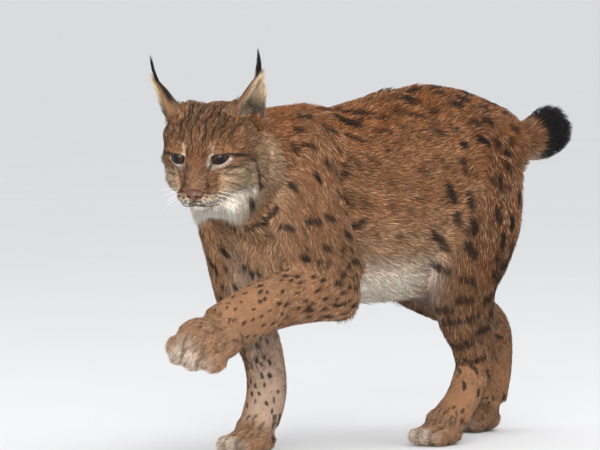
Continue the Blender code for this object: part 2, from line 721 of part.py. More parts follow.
def build_body():
    body = body_mesh()
    point, normal = NECK_PLANE
    front = half_spaces("front", [(point, -normal), ((0, 0, 0.335), (0, 0, -1))], grow=GAP / 2)
    boolean(body, front, "DIFFERENCE")
    fore = ((-0.115, 0, 0), (1, 0, 0))
    hind = ((0.02, 0, 0), (-1, 0, 0))
    left_half = ((0, -0.010, 0), (0, 1, 0))
    right_half = ((0, 0.010, 0), (0, -1, 0))
    cuts = [
        ("paw_front_left", [((-0.420, -0.09, 0.228), (0.90, 0.0, 0.42)), left_half,
                            ((0, 0, 0.32), (0, 0, 1))]),
        ("paw_front_right", [((0, 0, 0.085), (0, 0, 1)), fore]),
        ("paw_hind_left", [((0.12, 0, 0.078), (0.3, 0, 1)), left_half, hind]),
        ("paw_hind_right", [((0.36, 0, 0.078), (0.3, 0, 1)), right_half, hind]),
        ("foreleg_left_lower", [((-0.225, -0.10, 0.28), (0.80, 0, 0.60)), ((0, -0.040, 0), (0, 1, 0)),
                                ((0, 0, 0.325), (0, 0, 1))]),
        ("foreleg_left_upper", [((-0.24, -0.1, 0.385), (-0.25, 0, 1)), ((0, -0.045, 0), (0, 1, 0)), fore]),
        ("foreleg_right_lower", [((-0.22, 0, 0.262), (0, 0, 1)), ((0, 0.02, 0), (0, -1, 0)), fore]),
        ("foreleg_right_upper", [((-0.24, 0.1, 0.385), (-0.25, 0, 1)), ((0, 0.045, 0), (0, -1, 0)), fore]),
        ("hock_left", [((0.17, 0, 0.165), (-0.35, 0, 1)), left_half, hind, ((0, 0, 0.2), (0, 0, 1))]),
        ("hock_right", [((0.365, 0, 0.200), (-0.35, 0, 1)), right_half, hind, ((0, 0, 0.23), (0, 0, 1))]),
        ("shank_left", [((0.13, 0, 0.255), (0.15, 0, 1)), left_half, hind]),
        ("shank_right", [((0.19, 0, 0.262), (-0.25, 0, 1)), right_half, hind]),
        ("thigh_left", [((0.17, 0, 0.425), (-0.35, 0, 1)), ((0, -0.040, 0), (0, 1, 0)),
                        ((0.03, 0, 0), (-1, 0, 0.15))]),
        ("thigh_right", [((0.17, 0, 0.425), (-0.35, 0, 1)), ((0, 0.040, 0), (0, -1, 0)),
                         ((0.05, 0, 0), (-1, 0, 0.15))]),
        ("tail_tip", [((0.400, 0, 0.51), (-1, 0, 0.25)), ((0, 0, 0.40), (0, 0, -1))]),
        ("tail_root", [((0.320, 0, 0.50), (-1, 0, -0.1)), ((0, 0, 0.40), (0, 0, -1))]),
        ("neck", [((-0.262, 0, 0.49), (1, 0, -0.35))]),
        ("chest", [((-0.085, 0, 0.4), (1, 0, -0.05))]),
        ("rump", [((0.085, 0, 0.4), (-1, 0, 0.1))]),
    ]
    for name, planes in cuts:
        take(body, name, planes)
    body.name = "belly"
    keep_largest(body)


def paint(obj, colour, roughness):
    material = bpy.data.materials.new(obj.name)
    material.use_nodes = True
    shader = material.node_tree.nodes["Principled BSDF"]
    shader.inputs["Base Color"].default_value = (*colour, 1.0)
    shader.inputs["Roughness"].default_value = roughness
    obj.data.materials.clear()
    obj.data.materials.append(material)


def main():
    clear_scene()
    build_body()
    build_head(bpy.data.objects["neck"])
    for obj in bpy.data.objects:
        obj.data.transform(Matrix.Translation(ORIGIN_SHIFT))
        kind = next(start for start in PAINTS if obj.name.startswith(start))
        paint(obj, *PAINTS[kind])


main()
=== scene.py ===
"""Looks of the Eurasian lynx: one skin, its coat in mesh tufts, eyes, nose, whiskers, light and camera.

Metres, +Z up, the animal faces -X and its left side is -Y. Shapes are made in the body's own frame, where
x = y = 0 lies behind the shoulders, and settle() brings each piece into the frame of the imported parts.
Head coordinates f, l, u are centimetres forward, left and up from between the eyes. On the head, way is 1 on
its left and -1 on its right. On the body, way and side have the sign of y, so that -1 is its left.
"""

import json
import math

import bmesh
import bpy
import numpy as np
from mathutils import Matrix, Vector
from mathutils.kdtree import KDTree

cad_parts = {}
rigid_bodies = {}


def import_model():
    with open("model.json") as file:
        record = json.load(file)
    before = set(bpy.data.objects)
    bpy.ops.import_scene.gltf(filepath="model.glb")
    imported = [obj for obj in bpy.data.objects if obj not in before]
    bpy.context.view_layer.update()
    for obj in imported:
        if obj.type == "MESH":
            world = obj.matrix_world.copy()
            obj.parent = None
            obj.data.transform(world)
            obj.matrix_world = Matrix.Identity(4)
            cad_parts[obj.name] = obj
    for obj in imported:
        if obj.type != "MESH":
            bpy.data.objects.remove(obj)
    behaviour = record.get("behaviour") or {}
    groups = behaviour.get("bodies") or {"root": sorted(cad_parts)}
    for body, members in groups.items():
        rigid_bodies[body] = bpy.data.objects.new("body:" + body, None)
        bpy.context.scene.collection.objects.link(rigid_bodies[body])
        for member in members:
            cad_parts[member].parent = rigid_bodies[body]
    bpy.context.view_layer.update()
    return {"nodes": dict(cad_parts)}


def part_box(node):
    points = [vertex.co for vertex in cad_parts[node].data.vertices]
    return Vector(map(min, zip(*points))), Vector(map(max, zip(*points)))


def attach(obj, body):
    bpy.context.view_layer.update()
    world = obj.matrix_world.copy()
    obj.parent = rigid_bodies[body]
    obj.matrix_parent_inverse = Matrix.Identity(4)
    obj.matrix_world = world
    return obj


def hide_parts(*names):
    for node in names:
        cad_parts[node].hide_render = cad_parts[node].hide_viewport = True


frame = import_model()

# Driving dimensions, in metres, as in the solids
WITHERS_Z = 0.585
CROUP_Z = 0.621
HEAD_YAW = math.radians(24)
HEAD_PITCH = math.radians(20)
HEAD_POINT = Vector((-0.4707, -0.064, 0.505))
EYE_APART = 0.0340
EYE_R = 0.0152
EYE_TURN = math.radians(18)
EYE_SLANT = math.radians(20)
EYE_OPEN = (0.0160, 0.0095, 0.0076)
LID_R = EYE_R + 0.0014
END_BULGE = 0.6

# How fine the skin and the coat are
SKIN_VOXEL = 0.0027
SKIN_ROUNDS = 28
LONG_TUFTS = 80000
SHORT_TUFTS = 160000
PIECE_TRIANGLES = 180000
SEED = 5

# The photograph's viewpoint
VIEW_AZIMUTH = math.radians(-45)
VIEW_ELEVATION = math.radians(3)
VIEW_DISTANCE = 9.0
VIEW_LENS = 324.0
VIEW_TARGET = Vector((-0.148, 0.007, 0.380))
# The sky's light at the horizon, where it meets the far floor in one tone, and overhead
SKY_LOW = 0.76
SKY_HIGH = 1.07


def middle(node):
    low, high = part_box(node)
    return (low + high) / 2


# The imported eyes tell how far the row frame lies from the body's own frame
SHIFT = (middle("eye_left") + middle("eye_right")) / 2 - HEAD_POINT


def add_object(name, mesh):
    obj = bpy.data.objects.new(name, mesh)
    bpy.context.scene.collection.objects.link(obj)
    return obj


def mesh_object(name, points, faces):
    mesh = bpy.data.meshes.new(name)
    mesh.from_pydata([tuple(p) for p in points], [], faces)
    mesh.update()
    return add_object(name, mesh)


def evaluate(obj):
    """Applies the object's modifiers to its mesh."""
    bpy.context.view_layer.update()
    graph = bpy.context.evaluated_depsgraph_get()
    mesh = bpy.data.meshes.new_from_object(obj.evaluated_get(graph))
    obj.modifiers.clear()
    old = obj.data
    obj.data = mesh
    bpy.data.meshes.remove(old)
    return obj


def face_out(obj):
    made = bmesh.new()
    made.from_mesh(obj.data)
    bmesh.ops.recalc_face_normals(made, faces=made.faces)
    made.to_mesh(obj.data)
    made.free()
    return obj


def join(name, pieces):
    """One object with the meshes of all pieces, which are used up."""
    made = bmesh.new()
    for piece in pieces:
        made.from_mesh(piece.data)
        bpy.data.objects.remove(piece)
    mesh = bpy.data.meshes.new(name)
    made.to_mesh(mesh)
    made.free()
    return add_object(name, mesh)


def boolean(obj, cutter, operation):
    modifier = obj.modifiers.new("Cut", "BOOLEAN")
    modifier.operation = operation
    modifier.solver = "MANIFOLD"
    modifier.object = cutter
    evaluate(obj)
    bpy.data.objects.remove(cutter)


def fused(name, pieces, voxel, rounds):
    """The pieces melted into one closed surface, smoothed by that many rounds."""
    obj = join(name, pieces)
    remesh = obj.modifiers.new("Fuse", "REMESH")
    remesh.mode = "VOXEL"
    remesh.voxel_size = voxel
    smooth = obj.modifiers.new("Round", "SMOOTH")
    smooth.factor = 0.5
    smooth.iterations = rounds
    return evaluate(obj)


def shade_smooth(obj):
    obj.data.polygons.foreach_set("use_smooth", np.ones(len(obj.data.polygons), bool))
    return obj


def spline(values, steps):
    """A Catmull-Rom curve through the values, with that many steps between each two."""
    values = np.asarray(values, float)
    padded = np.vstack([2 * values[0] - values[1], values, 2 * values[-1] - values[-2]])
    rows = []
    for i in range(1, len(padded) - 2):
        a, b, c, d = padded[i - 1: i + 3]
        for t in np.linspace(0, 1, steps, endpoint=False):
            rows.append(0.5 * (2 * b + (c - a) * t + (2 * a - 5 * b + 4 * c - d) * t**2
                               + (3 * b - a - 3 * c + d) * t**3))
    rows.append(values[-1])
    return np.array(rows)


def ring_faces(rings, sides):
    """Faces of a closed tube of rings that runs from a first pole to a last pole."""
    faces = []
    for k in range(rings - 1):
        for i in range(sides):
            j = (i + 1) % sides
            faces.append((k * sides + i, k * sides + j, (k + 1) * sides + j, (k + 1) * sides + i))
    first, last = rings * sides, rings * sides + 1
    for i in range(sides):
        j = (i + 1) % sides
        faces.append((first, j, i))
        faces.append((last, (rings - 1) * sides + i, (rings - 1) * sides + j))
    return faces


def limb(name, stations, across=Vector((0, 1, 0)), sides=28, steps=6):
    """A limb or trunk with oval sections. Each station is (x, y, z, half depth, half width across)."""
    rows = spline(stations, steps)
    centres = rows[:, :3]
    tangents = np.gradient(centres, axis=0)
    points = []
    for centre, tangent, row in zip(centres, tangents, rows):
        t = Vector(tangent).normalized()
        side = (across - across.dot(t) * t).normalized()
        front = t.cross(side)
        for i in range(sides):
            angle = 2 * math.pi * i / sides
            ahead, aside = row[3] * math.cos(angle), row[4] * math.sin(angle)
            points.append(Vector(centre) + front * ahead + side * aside)
    for end, way in ((0, -1), (-1, 1)):
        bulge = END_BULGE * min(rows[end][3], rows[end][4])
        points.append(Vector(centres[end]) + Vector(tangents[end]).normalized() * (way * bulge))
    return face_out(mesh_object(name, points, ring_faces(len(rows), sides)))


def ball(name, centre, radii, axes=Matrix.Identity(3), segments=32):
    mesh = bpy.data.meshes.new(name)
    made = bmesh.new()
    bmesh.ops.create_uvsphere(made, u_segments=segments, v_segments=segments * 2 // 3, radius=1.0)
    made.to_mesh(mesh)
    made.free()
    mesh.transform(Matrix.Translation(centre) @ axes.to_4x4() @ Matrix.Diagonal((*radii, 1)))
    return add_object(name, mesh)


def head_axes():
    ahead = Vector((-math.cos(HEAD_YAW), -math.sin(HEAD_YAW), 0))
    left = Vector((0, 0, 1)).cross(ahead)
    forward = ahead * math.cos(HEAD_PITCH) - Vector((0, 0, 1)) * math.sin(HEAD_PITCH)
    return forward, left, forward.cross(left)


FORWARD, LEFTWARD, UPWARD = head_axes()
HEAD_TURN = Matrix((FORWARD, LEFTWARD, UPWARD)).transposed()


def on_head(f, l, u):
    """A point given in centimetres forward, left and up from between the eyes."""
    return HEAD_POINT + HEAD_TURN @ Vector((f, l, u)) * 0.01


def head_ball(name, centre, radii):
    return ball(name, on_head(*centre), [r * 0.01 for r in radii], HEAD_TURN)


def head_limb(name, stations):
    """Stations in head centimetres: forward, left, up, half height, half width."""
    rows = [(*on_head(*s[:3]), s[3] * 0.01, s[4] * 0.01) for s in stations]
    return limb(name, rows, across=LEFTWARD)


# Stations of each run of the body: x, y, z, half depth, half width across
NECK = [
    (-0.16, 0.0, 0.455, 0.120, 0.095),
    (-0.24, 0.0, 0.462, 0.122, 0.097),
    (-0.32, -0.012, 0.482, 0.098, 0.090),
    (-0.385, -0.034, 0.495, 0.082, 0.082),
    (-0.44, -0.055, 0.492, 0.070, 0.068),
]
# x, top of the back, bottom of the belly and half width
TRUNK_PROFILE = [
    (-0.325, 0.470, 0.360, 0.050),
    (-0.290, 0.540, 0.312, 0.086),
    (-0.205, WITHERS_Z, 0.270, 0.103),
    (-0.120, 0.576, 0.254, 0.114),
    (-0.020, 0.591, 0.246, 0.118),
    (0.080, 0.612, 0.252, 0.112),
    (0.150, CROUP_Z, 0.300, 0.103),
    (0.215, 0.608, 0.355, 0.095),
    (0.275, 0.582, 0.405, 0.084),
    (0.322, 0.556, 0.435, 0.064),
]
TRUNK = [(x, 0.0, (top + low) / 2, (top - low) / 2, wide) for x, top, low, wide in TRUNK_PROFILE]
UPPER_ARM_LEFT = [
    (-0.205, -0.055, 0.520, 0.060, 0.040),
    (-0.245, -0.080, 0.435, 0.078, 0.050),
    (-0.235, -0.096, 0.350, 0.078, 0.050),
    (-0.190, -0.103, 0.285, 0.062, 0.046),
]
FOREARM_LEFT = [
    (-0.180, -0.105, 0.279, 0.058, 0.045),
    (-0.262, -0.104, 0.276, 0.054, 0.044),
    (-0.345, -0.100, 0.262, 0.049, 0.042),
    (-0.405, -0.094, 0.241, 0.048, 0.042),
    (-0.452, -0.088, 0.221, 0.046, 0.044),
]
FORELEG_RIGHT = [
    (-0.205, 0.055, 0.520, 0.060, 0.040),
    (-0.248, 0.082, 0.420, 0.078, 0.050),
    (-0.243, 0.086, 0.325, 0.062, 0.047),
    (-0.232, 0.074, 0.235, 0.050, 0.042),
    (-0.208, 0.060, 0.160, 0.040, 0.037),
    (-0.205, 0.054, 0.100, 0.038, 0.038),
    (-0.222, 0.053, 0.050, 0.034, 0.040),
]
HINDLEG_LEFT = [
    (0.205, -0.055, 0.480, 0.100, 0.050),
    (0.163, -0.079, 0.385, 0.098, 0.056),
    (0.128, -0.086, 0.290, 0.084, 0.050),
    (0.136, -0.082, 0.225, 0.064, 0.043),
    (0.160, -0.076, 0.172, 0.048, 0.037),
    (0.170, -0.071, 0.128, 0.041, 0.035),
    (0.145, -0.069, 0.078, 0.033, 0.036),
    (0.112, -0.069, 0.045, 0.032, 0.040),
]
THIGH_RIGHT = [
    (0.220, 0.055, 0.475, 0.100, 0.050),
    (0.208, 0.078, 0.385, 0.102, 0.055),
    (0.178, 0.083, 0.300, 0.080, 0.050),
    (0.185, 0.082, 0.262, 0.062, 0.045),
]
SHANK_RIGHT = [
    (0.165, 0.083, 0.285, 0.062, 0.046),
    (0.240, 0.080, 0.247, 0.055, 0.042),
    (0.310, 0.072, 0.212, 0.044, 0.037),
    (0.362, 0.067, 0.176, 0.038, 0.034),
    (0.370, 0.065, 0.115, 0.032, 0.034),
    (0.352, 0.065, 0.055, 0.032, 0.040),
]
TAIL = [
    (0.270, 0.0, 0.500, 0.036, 0.036),
    (0.325, 0.0, 0.505, 0.034, 0.034),
    (0.370, 0.0, 0.507, 0.036, 0.036),
    (0.405, 0.0, 0.512, 0.041, 0.038),
    (0.432, 0.0, 0.522, 0.044, 0.038),
    (0.456, 0.0, 0.529, 0.036, 0.032),
    (0.467, 0.0, 0.532, 0.020, 0.020),
]
DOWN = Vector((0, 0, -1))
# Palm, way ahead, way down, size and spread of each paw, and how far ahead and up its wrist lies
PAWS = {
    "front_left": ((-0.472, -0.090, 0.208), (-0.92, 0.06, -0.38), (0.38, 0.25, -0.89), 1.16, 1.22,
                   (0.019, 0.014)),
    "front_right": ((-0.240, 0.053, 0.021), (-1, 0.03, 0), DOWN, 1.0, 1.0, (-0.010, 0.024)),
    "hind_left": ((0.090, -0.069, 0.021), (-1, 0.0, 0), DOWN, 0.95, 1.0, (-0.010, 0.024)),
    "hind_right": ((0.326, 0.065, 0.021), (-1, 0.05, 0), DOWN, 0.95, 1.0, (-0.010, 0.024)),
}
TOES = ((0.030, -0.0305, 0.007), (0.046, -0.0108, 0.004), (0.046, 0.0108, 0.004), (0.030, 0.0305, 0.007))
# Root, apex and tuft tip of each ear in head centimetres, by side: 1 is left
EARS = {
    1: ((-7.2, 5.4, 2.2), (-9.8, 8.3, 10.9), (-9.9, 8.3, 15.2)),
    -1: ((-6.2, -6.4, 2.2), (-8.2, -9.9, 10.4), (-8.5, -10.2, 14.4)),
}


def paw_axes(ahead, down):
    """The ways ahead, across and down of a paw, square to each other."""
    ahead = Vector(ahead).normalized()
    across = Vector(down).cross(ahead).normalized()
    return ahead, across, ahead.cross(across).normalized()


# Radii of a paw's palm, wrist and toes along it, across it and down
PALM_RADII = (0.046, 0.041, 0.028)
WRIST_RADII = (0.037, 0.038, 0.028)
TOE_RADII = (0.0235, 0.0142, 0.0185)
# The blades that part the toes: place across and ahead of the palm, rise over it, and radii
CLEFT_PLACES = ((-0.0215, 0.056), (0.0, 0.066), (0.0215, 0.056))
CLEFT_RISE = 0.004
CLEFT_RADII = (0.024, 0.0016, 0.017)


def paw_ball(name, centre, radii, axes, size, spread=1.0):
    """An oval of a paw, in the paw's own axes, scaled by its size and widened by its spread."""
    along, across, down = radii
    return ball(name, centre, [size * r for r in (along, across * spread, down)], axes)


def paw_pieces():
    """Palm, wrist and four toes of each paw."""
    pieces = []
    for name, (palm, ahead, down, size, spread, (fore, rise)) in PAWS.items():
        ahead, across, down = paw_axes(ahead, down)
        axes = Matrix((ahead, across, down)).transposed()
        pieces.append(paw_ball(name, palm, PALM_RADII, axes, size, spread))
        wrist = Vector(palm) + (ahead * fore - down * rise) * size
        pieces.append(paw_ball(name, wrist, WRIST_RADII, axes, size))
        for reach, aside, drop in TOES:
            centre = Vector(palm) + (ahead * reach + across * aside * spread + down * drop) * size
            pieces.append(paw_ball(name, centre, TOE_RADII, axes, size, spread))
    return pieces


def head_pieces():
    """Ovals and short runs that melt into the head, in head centimetres."""
    pieces = [
        head_ball("cranium", (-5.8, 0, 0.8), (6.6, 7.2, 5.6)),
        head_ball("nape", (-9.8, 0, 0.2), (5.0, 6.8, 5.4)),
        head_ball("forehead", (-2.6, 0, 2.0), (3.7, 4.9, 3.7)),
        head_limb("bridge", [(-0.8, 0, 2.2, 2.0, 3.0), (1.5, 0, 0.2, 2.0, 2.4),
                             (3.3, 0, -2.1, 1.8, 2.0), (4.4, 0, -4.2, 1.4, 1.6)]),
        head_ball("muzzle", (2.2, 0, -4.4), (2.9, 3.3, 2.8)),
        head_ball("chin", (2.7, 0, -7.4), (1.8, 2.4, 1.4)),
        head_ball("jaw", (-1.4, 0, -6.4), (4.4, 4.1, 2.9)),
        head_ball("throat", (-5.0, 0, -6.6), (4.8, 5.4, 4.4)),
        head_ball("beard", (-1.6, 0, -7.6), (3.0, 3.6, 2.0)),
    ]
    for way in (-1, 1):
        pieces += [
            head_ball("pad", (3.3, 1.8 * way, -5.5), (2.1, 2.15, 1.7)),
            head_ball("lip", (1.4, 3.0 * way, -5.9), (2.5, 1.6, 1.7)),
            head_ball("side", (1.2, 1.9 * way, -2.2), (2.4, 1.9, 2.5)),
            head_ball("cheek", (-1.4, 3.9 * way, -3.8), (3.7, 3.0, 3.5)),
            head_ball("under_eye", (-0.5, 3.6 * way, -1.9), (1.9, 2.7, 1.8)),
            head_ball("eye_bed", (-1.1, 3.3 * way, 0.1), (2.35, 2.8, 2.4)),
            head_ball("side_head", (-4.0, 4.2 * way, -0.8), (4.9, 3.7, 5.4)),
            head_ball("brow", (-0.6, 3.1 * way, 2.0), (1.8, 2.7, 1.2)),
            head_ball("temple", (-4.6, 5.7 * way, 1.3), (3.3, 2.5, 3.2)),
            head_ball("crest", (-6.6, 2.3 * way, 4.1), (3.0, 2.9, 2.6)),
            head_ball("ear_root", (-7.0, 3.9 * way, 4.3), (2.7, 2.4, 2.6)),
            head_limb("ruff", [(-5.6, 6.2 * way, 1.2, 2.6, 1.6), (-6.4, 6.6 * way, -2.2, 3.0, 2.0),
                               (-6.8, 6.0 * way, -6.0, 3.0, 2.0), (-6.8, 4.6 * way, -8.8, 2.0, 1.6)]),
        ]
    return pieces


class Bone:
    """The middle line of one run of the body, for the lie, length and colour of the coat on it."""

    def __init__(self, kind, side, stations, first=0.0, last=1.0):
        rows = spline(stations, 6)
        self.kind = kind
        self.side = side
        self.centres = rows[:, :3]
        self.depths, self.widths = rows[:, 3], rows[:, 4]
        tangents = np.gradient(self.centres, axis=0)
        self.tangents = unit(tangents)
        across = np.array([0.0, 1.0, 0.0])
        self.sides = unit(across - self.tangents * (self.tangents @ across)[:, None])
        self.fronts = np.cross(self.tangents, self.sides)
        steps = np.r_[0, np.cumsum(np.linalg.norm(np.diff(self.centres, axis=0), axis=1))]
        self.along = first + (last - first) * steps / steps[-1]

    def place(self, points):
        """Scaled distance, place along the run, angle round it and direction towards its end."""
        scale = 1 / (self.depths * self.widths)
        near = (points**2).sum(1)[:, None] + (self.centres**2).sum(1) - 2 * points @ self.centres.T
        near *= scale
        found = near.argmin(1)
        best = np.maximum(near[np.arange(len(points)), found], 0)
        away = points - self.centres[found]
        high = (away * self.fronts[found]).sum(1) / self.depths[found]
        aside = (away * self.sides[found]).sum(1) / self.widths[found]
        return np.sqrt(best), self.along[found], np.arctan2(aside, high), self.tangents[found]

    def surface(self, along, angle):
        """The point of the run's oval at a place along it and an angle round it, with both tangents."""
        i = int(np.argmin(np.abs(self.along - along)))
        front = self.fronts[i] * self.depths[i]
        side = self.sides[i] * self.widths[i]
        ring = front * math.cos(angle) + side * math.sin(angle)
        turn = side * math.cos(angle) - front * math.sin(angle)
        return self.centres[i] + ring, self.tangents[i], turn / np.linalg.norm(turn)


def unit(rows):
    rows = np.asarray(rows, float)
    return rows / np.maximum(np.linalg.norm(rows, axis=-1, keepdims=True), 1e-12)


def paw_bone(name, side):
    palm, ahead, _, size = PAWS[name][:4]
    ahead = Vector(ahead).normalized()
    stations = []
    for reach in (-0.010, 0.008, 0.035, 0.065):
        stations.append((*(Vector(palm) + ahead * reach * size), 0.034 * size, 0.042 * size))
    return Bone("paw", side, stations)


BONES = [
    Bone("trunk", 0, TRUNK),
    Bone("neck", 0, NECK[::-1]),
    Bone("tail", 0, TAIL),
    Bone("fore", -1, UPPER_ARM_LEFT, 0.0, 0.45),
    Bone("fore", -1, FOREARM_LEFT, 0.45, 1.0),
    Bone("fore", 1, FORELEG_RIGHT),
    Bone("hind", -1, HINDLEG_LEFT),
    Bone("hind", 1, THIGH_RIGHT, 0.0, 0.45),
    Bone("hind", 1, SHANK_RIGHT, 0.42, 1.0),
    paw_bone("front_left", -1),
    paw_bone("front_right", 1),
    paw_bone("hind_left", -1),
    paw_bone("hind_right", 1),
]
# The kinds of run that the coat tells apart
KINDS = ("trunk", "neck", "tail", "fore", "hind", "paw", "head", "ear")


def in_head(points):
    """Head coordinates in centimetres: forward, left and up."""
    return (points - np.array(HEAD_POINT)) @ np.array(HEAD_TURN) * 100


def ramp(values, low, high):
    """0 below low and 1 above high, with a smooth step between. low may be above high."""
    t = np.clip((values - low) / (high - low), 0, 1)
    return t * t * (3 - 2 * t)


# Height up the ear from 0 to 1, half width and depth of its cup
EAR_CUP = [(0.0, 0.0295, 0.0245), (0.16, 0.0305, 0.0240), (0.34, 0.0285, 0.0210), (0.54, 0.0230, 0.0160),
           (0.74, 0.0150, 0.0105), (0.90, 0.0070, 0.0050), (1.0, 0.0024, 0.0020)]


def ear_radii(height):
    """Half width and depth of the ear at a height from 0 to 1."""
    heights, wide, deep = zip(*EAR_CUP)
    return np.interp(height, heights, wide), np.interp(height, heights, deep)


def ear_frame(way):
    """Base, tip and tuft tip of one ear, with its axis, the way its cup opens and the way across it."""
    base, tip, tuft_tip = (on_head(*place) for place in EARS[way])
    axis = (tip - base).normalized()
    opening = FORWARD * 0.45 + LEFTWARD * way * 0.89
    opening = (opening - axis * opening.dot(axis)).normalized()
    return base, tip, tuft_tip, axis, opening, axis.cross(opening).normalized()


def eye_place(way):
    return on_head(0, EYE_APART * 100 * way, 0)


def eye_axes(way):
    """Looking direction, outward and up of one eye."""
    look = (FORWARD * math.cos(EYE_TURN) + LEFTWARD * way * math.sin(EYE_TURN)).normalized()
    out = (LEFTWARD * way - look * (LEFTWARD * way).dot(look)).normalized()
    return (look, out * math.cos(EYE_SLANT) + UPWARD * math.sin(EYE_SLANT),
            UPWARD * math.cos(EYE_SLANT) - out * math.sin(EYE_SLANT))


def eye_steps(points, way):
    """Steps of the points ahead, outward and up from the middle of one eye."""
    away = points - np.array(eye_place(way))
    return [away @ np.array(axis) for axis in eye_axes(way)]


def off_the_eyes(points):
    """Distance outside the nearer opening between the lids, and height over a line that slants under it."""
    best = np.full(len(points), 1.0)
    high = np.zeros(len(points))
    wide, above, below = EYE_OPEN
    for way in (-1, 1):
        ahead, a, b = eye_steps(points, way)
        rim = np.where(b > 0, above, below)
        scaled = np.maximum(np.hypot(a / wide, b / rim), 1e-6)
        off = np.hypot(a, b) * (1 - 1 / scaled) + 2.0 * np.maximum(0.002 - ahead, 0)
        closer = off < best
        best[closer] = off[closer]
        high[closer] = (b + 0.9 * np.maximum(a + 0.002, -0.012))[closer] - 0.004
    return best, high


def ear_place(points, way):
    """Height up one ear, distance from its axis in radii, and steps aside and towards its opening."""
    base, tip, _, axis, opening, side = ear_frame(way)
    from_base = points - np.array(base)
    height = from_base @ np.array(axis) / (tip - base).length
    aside, out = from_base @ np.array(side), from_base @ np.array(opening)
    wide, deep = ear_radii(height)
    return height, np.hypot(aside / wide, out / deep), aside, out


# How fast the share of a run falls with the distance from its middle line, in its own radii
SHARE_FALL = 7.0
# Middle and radii of the head in head centimetres, and its weight beside that of the runs
HEAD_MIDDLE = (-4.2, 0.0, -2.6)
HEAD_RADII = (8.6, 7.9, 9.2)
HEAD_WEIGHT = 1.6
# Weight of the ears, and the pull of their axis on the lie of the coat
EAR_WEIGHT = 60.0
EAR_PULL = 40.0


class Places:
    """Where each point lies on the animal: its share of each kind of run, and the lie of the coat there."""

    def __init__(self, points):
        self.points = points
        count = len(points)
        self.share = {kind: np.zeros(count) for kind in KINDS}
        self.along = {kind: np.zeros(count) for kind in KINDS}
        self.angle = {kind: np.zeros(count) for kind in KINDS}
        self.side = np.where(points[:, 1] < 0, -1, 1)
        flow = np.zeros((count, 3))
        for bone in BONES:
            near, along, angle, tangent = bone.place(points)
            pull = np.exp(-SHARE_FALL * near)
            stronger = pull > self.share[bone.kind]
            self.along[bone.kind][stronger] = along[stronger]
            self.angle[bone.kind][stronger] = angle[stronger]
            self.share[bone.kind] = np.maximum(self.share[bone.kind], pull)
            flow += tangent * pull[:, None]
        self.head = in_head(points)
        f, l, u = self.head.T
        near = np.sqrt(sum(((self.head[:, k] - HEAD_MIDDLE[k]) / HEAD_RADII[k]) ** 2 for k in range(3)))
        pull = np.exp(-SHARE_FALL * near) * HEAD_WEIGHT
        self.share["head"] = pull
        away = unit(np.stack([f - 5.0, l, u + 4.5], 1))
        away[:, 0] -= 0.45
        away[:, 2] -= 0.5 * ramp(-u, 1.0, 5.0)
        flow += (away @ np.array(HEAD_TURN).T) * pull[:, None]
        for way in (-1, 1):
            height, off, aside, out = ear_place(points, way)
            inside = ramp(height, 0.20, 0.32) * ramp(off, 1.45, 1.15)
            self.share["ear"] = np.maximum(self.share["ear"], inside * EAR_WEIGHT)
            flow += np.array(ear_frame(way)[3]) * (inside * EAR_PULL)[:, None]
            here = inside > 0
            self.along["ear"][here] = height[here]
            self.angle["ear"][here] = np.arctan2(aside, -out)[here]
        total = sum(self.share.values())
        for kind in KINDS:
            self.share[kind] = self.share[kind] / total
        self.flow = unit(flow)

    def blend(self, values):
        """The mean of one number per kind, weighed by how much each point belongs to it."""
        return sum(self.share[kind] * values[kind] for kind in KINDS)

    def face(self):
        """1 on the short hair of the face, 0 behind the cheeks."""
        return ramp(self.head[:, 0], -4.5, -0.5) * self.share["head"]

    def belly(self):
        """1 on the long hair under the trunk between the legs."""
        under = ramp(np.abs(self.angle["trunk"]), 1.75, 2.5)
        x = self.points[:, 0]
        return under * ramp(x, -0.17, -0.08) * ramp(x, 0.17, 0.10) * self.share["trunk"]

    def ruff(self):
        """1 on the cheek ruff and the beard."""
        f, _, u = self.head.T
        cheek = ramp(f, -3.0, -4.6) * ramp(u, 0.0, -2.5) * ramp(f, -9.5, -7.5)
        return np.maximum(cheek * self.share["head"], self.beard())

    def beard(self):
        """1 and more on the hair that hangs from the chin and the lower jaw."""
        f, _, u = self.head.T
        return ramp(u, -6.0, -7.4) * ramp(f, 2.4, 0.8) * ramp(f, -8.5, -6.0) * 1.5 * self.share["head"]

    def cheek(self):
        """1 on the fluffy hair of the cheeks, in front of the ruff."""
        f, l, u = self.head.T
        return ramp(np.abs(l), 4.8, 6.2) * ramp(u, 0.5, -1.5) * ramp(f, -6.0, -2.0) * self.share["head"]

    def ankle(self):
        """1 on the lowest part of each leg, where its hair shortens towards the paw."""
        fore, hind = self.share["fore"], self.share["hind"]
        along = np.where(fore > hind, self.along["fore"], self.along["hind"])
        return (fore + hind) * ramp(along, 0.66, 0.92)

    def nearest(self):
        """The number in KINDS of the run that each point belongs to most."""
        return np.argmax(np.stack([self.share[kind] for kind in KINDS]), axis=0)


# Depth of the coat over the skin, in metres, what the long hair of belly and ruff adds to it, and
# how much less it is on the face and the ankles
LONG_HAIR_DEPTH = 0.004
FACE_DEPTH_LESS = 0.0016
ANKLE_DEPTH_LESS = 0.0014
COAT_DEPTH = {"trunk": 0.0105, "neck": 0.0105, "tail": 0.0095, "fore": 0.0058, "hind": 0.0066,
              "paw": 0.0042, "head": 0.0036, "ear": 0.0}
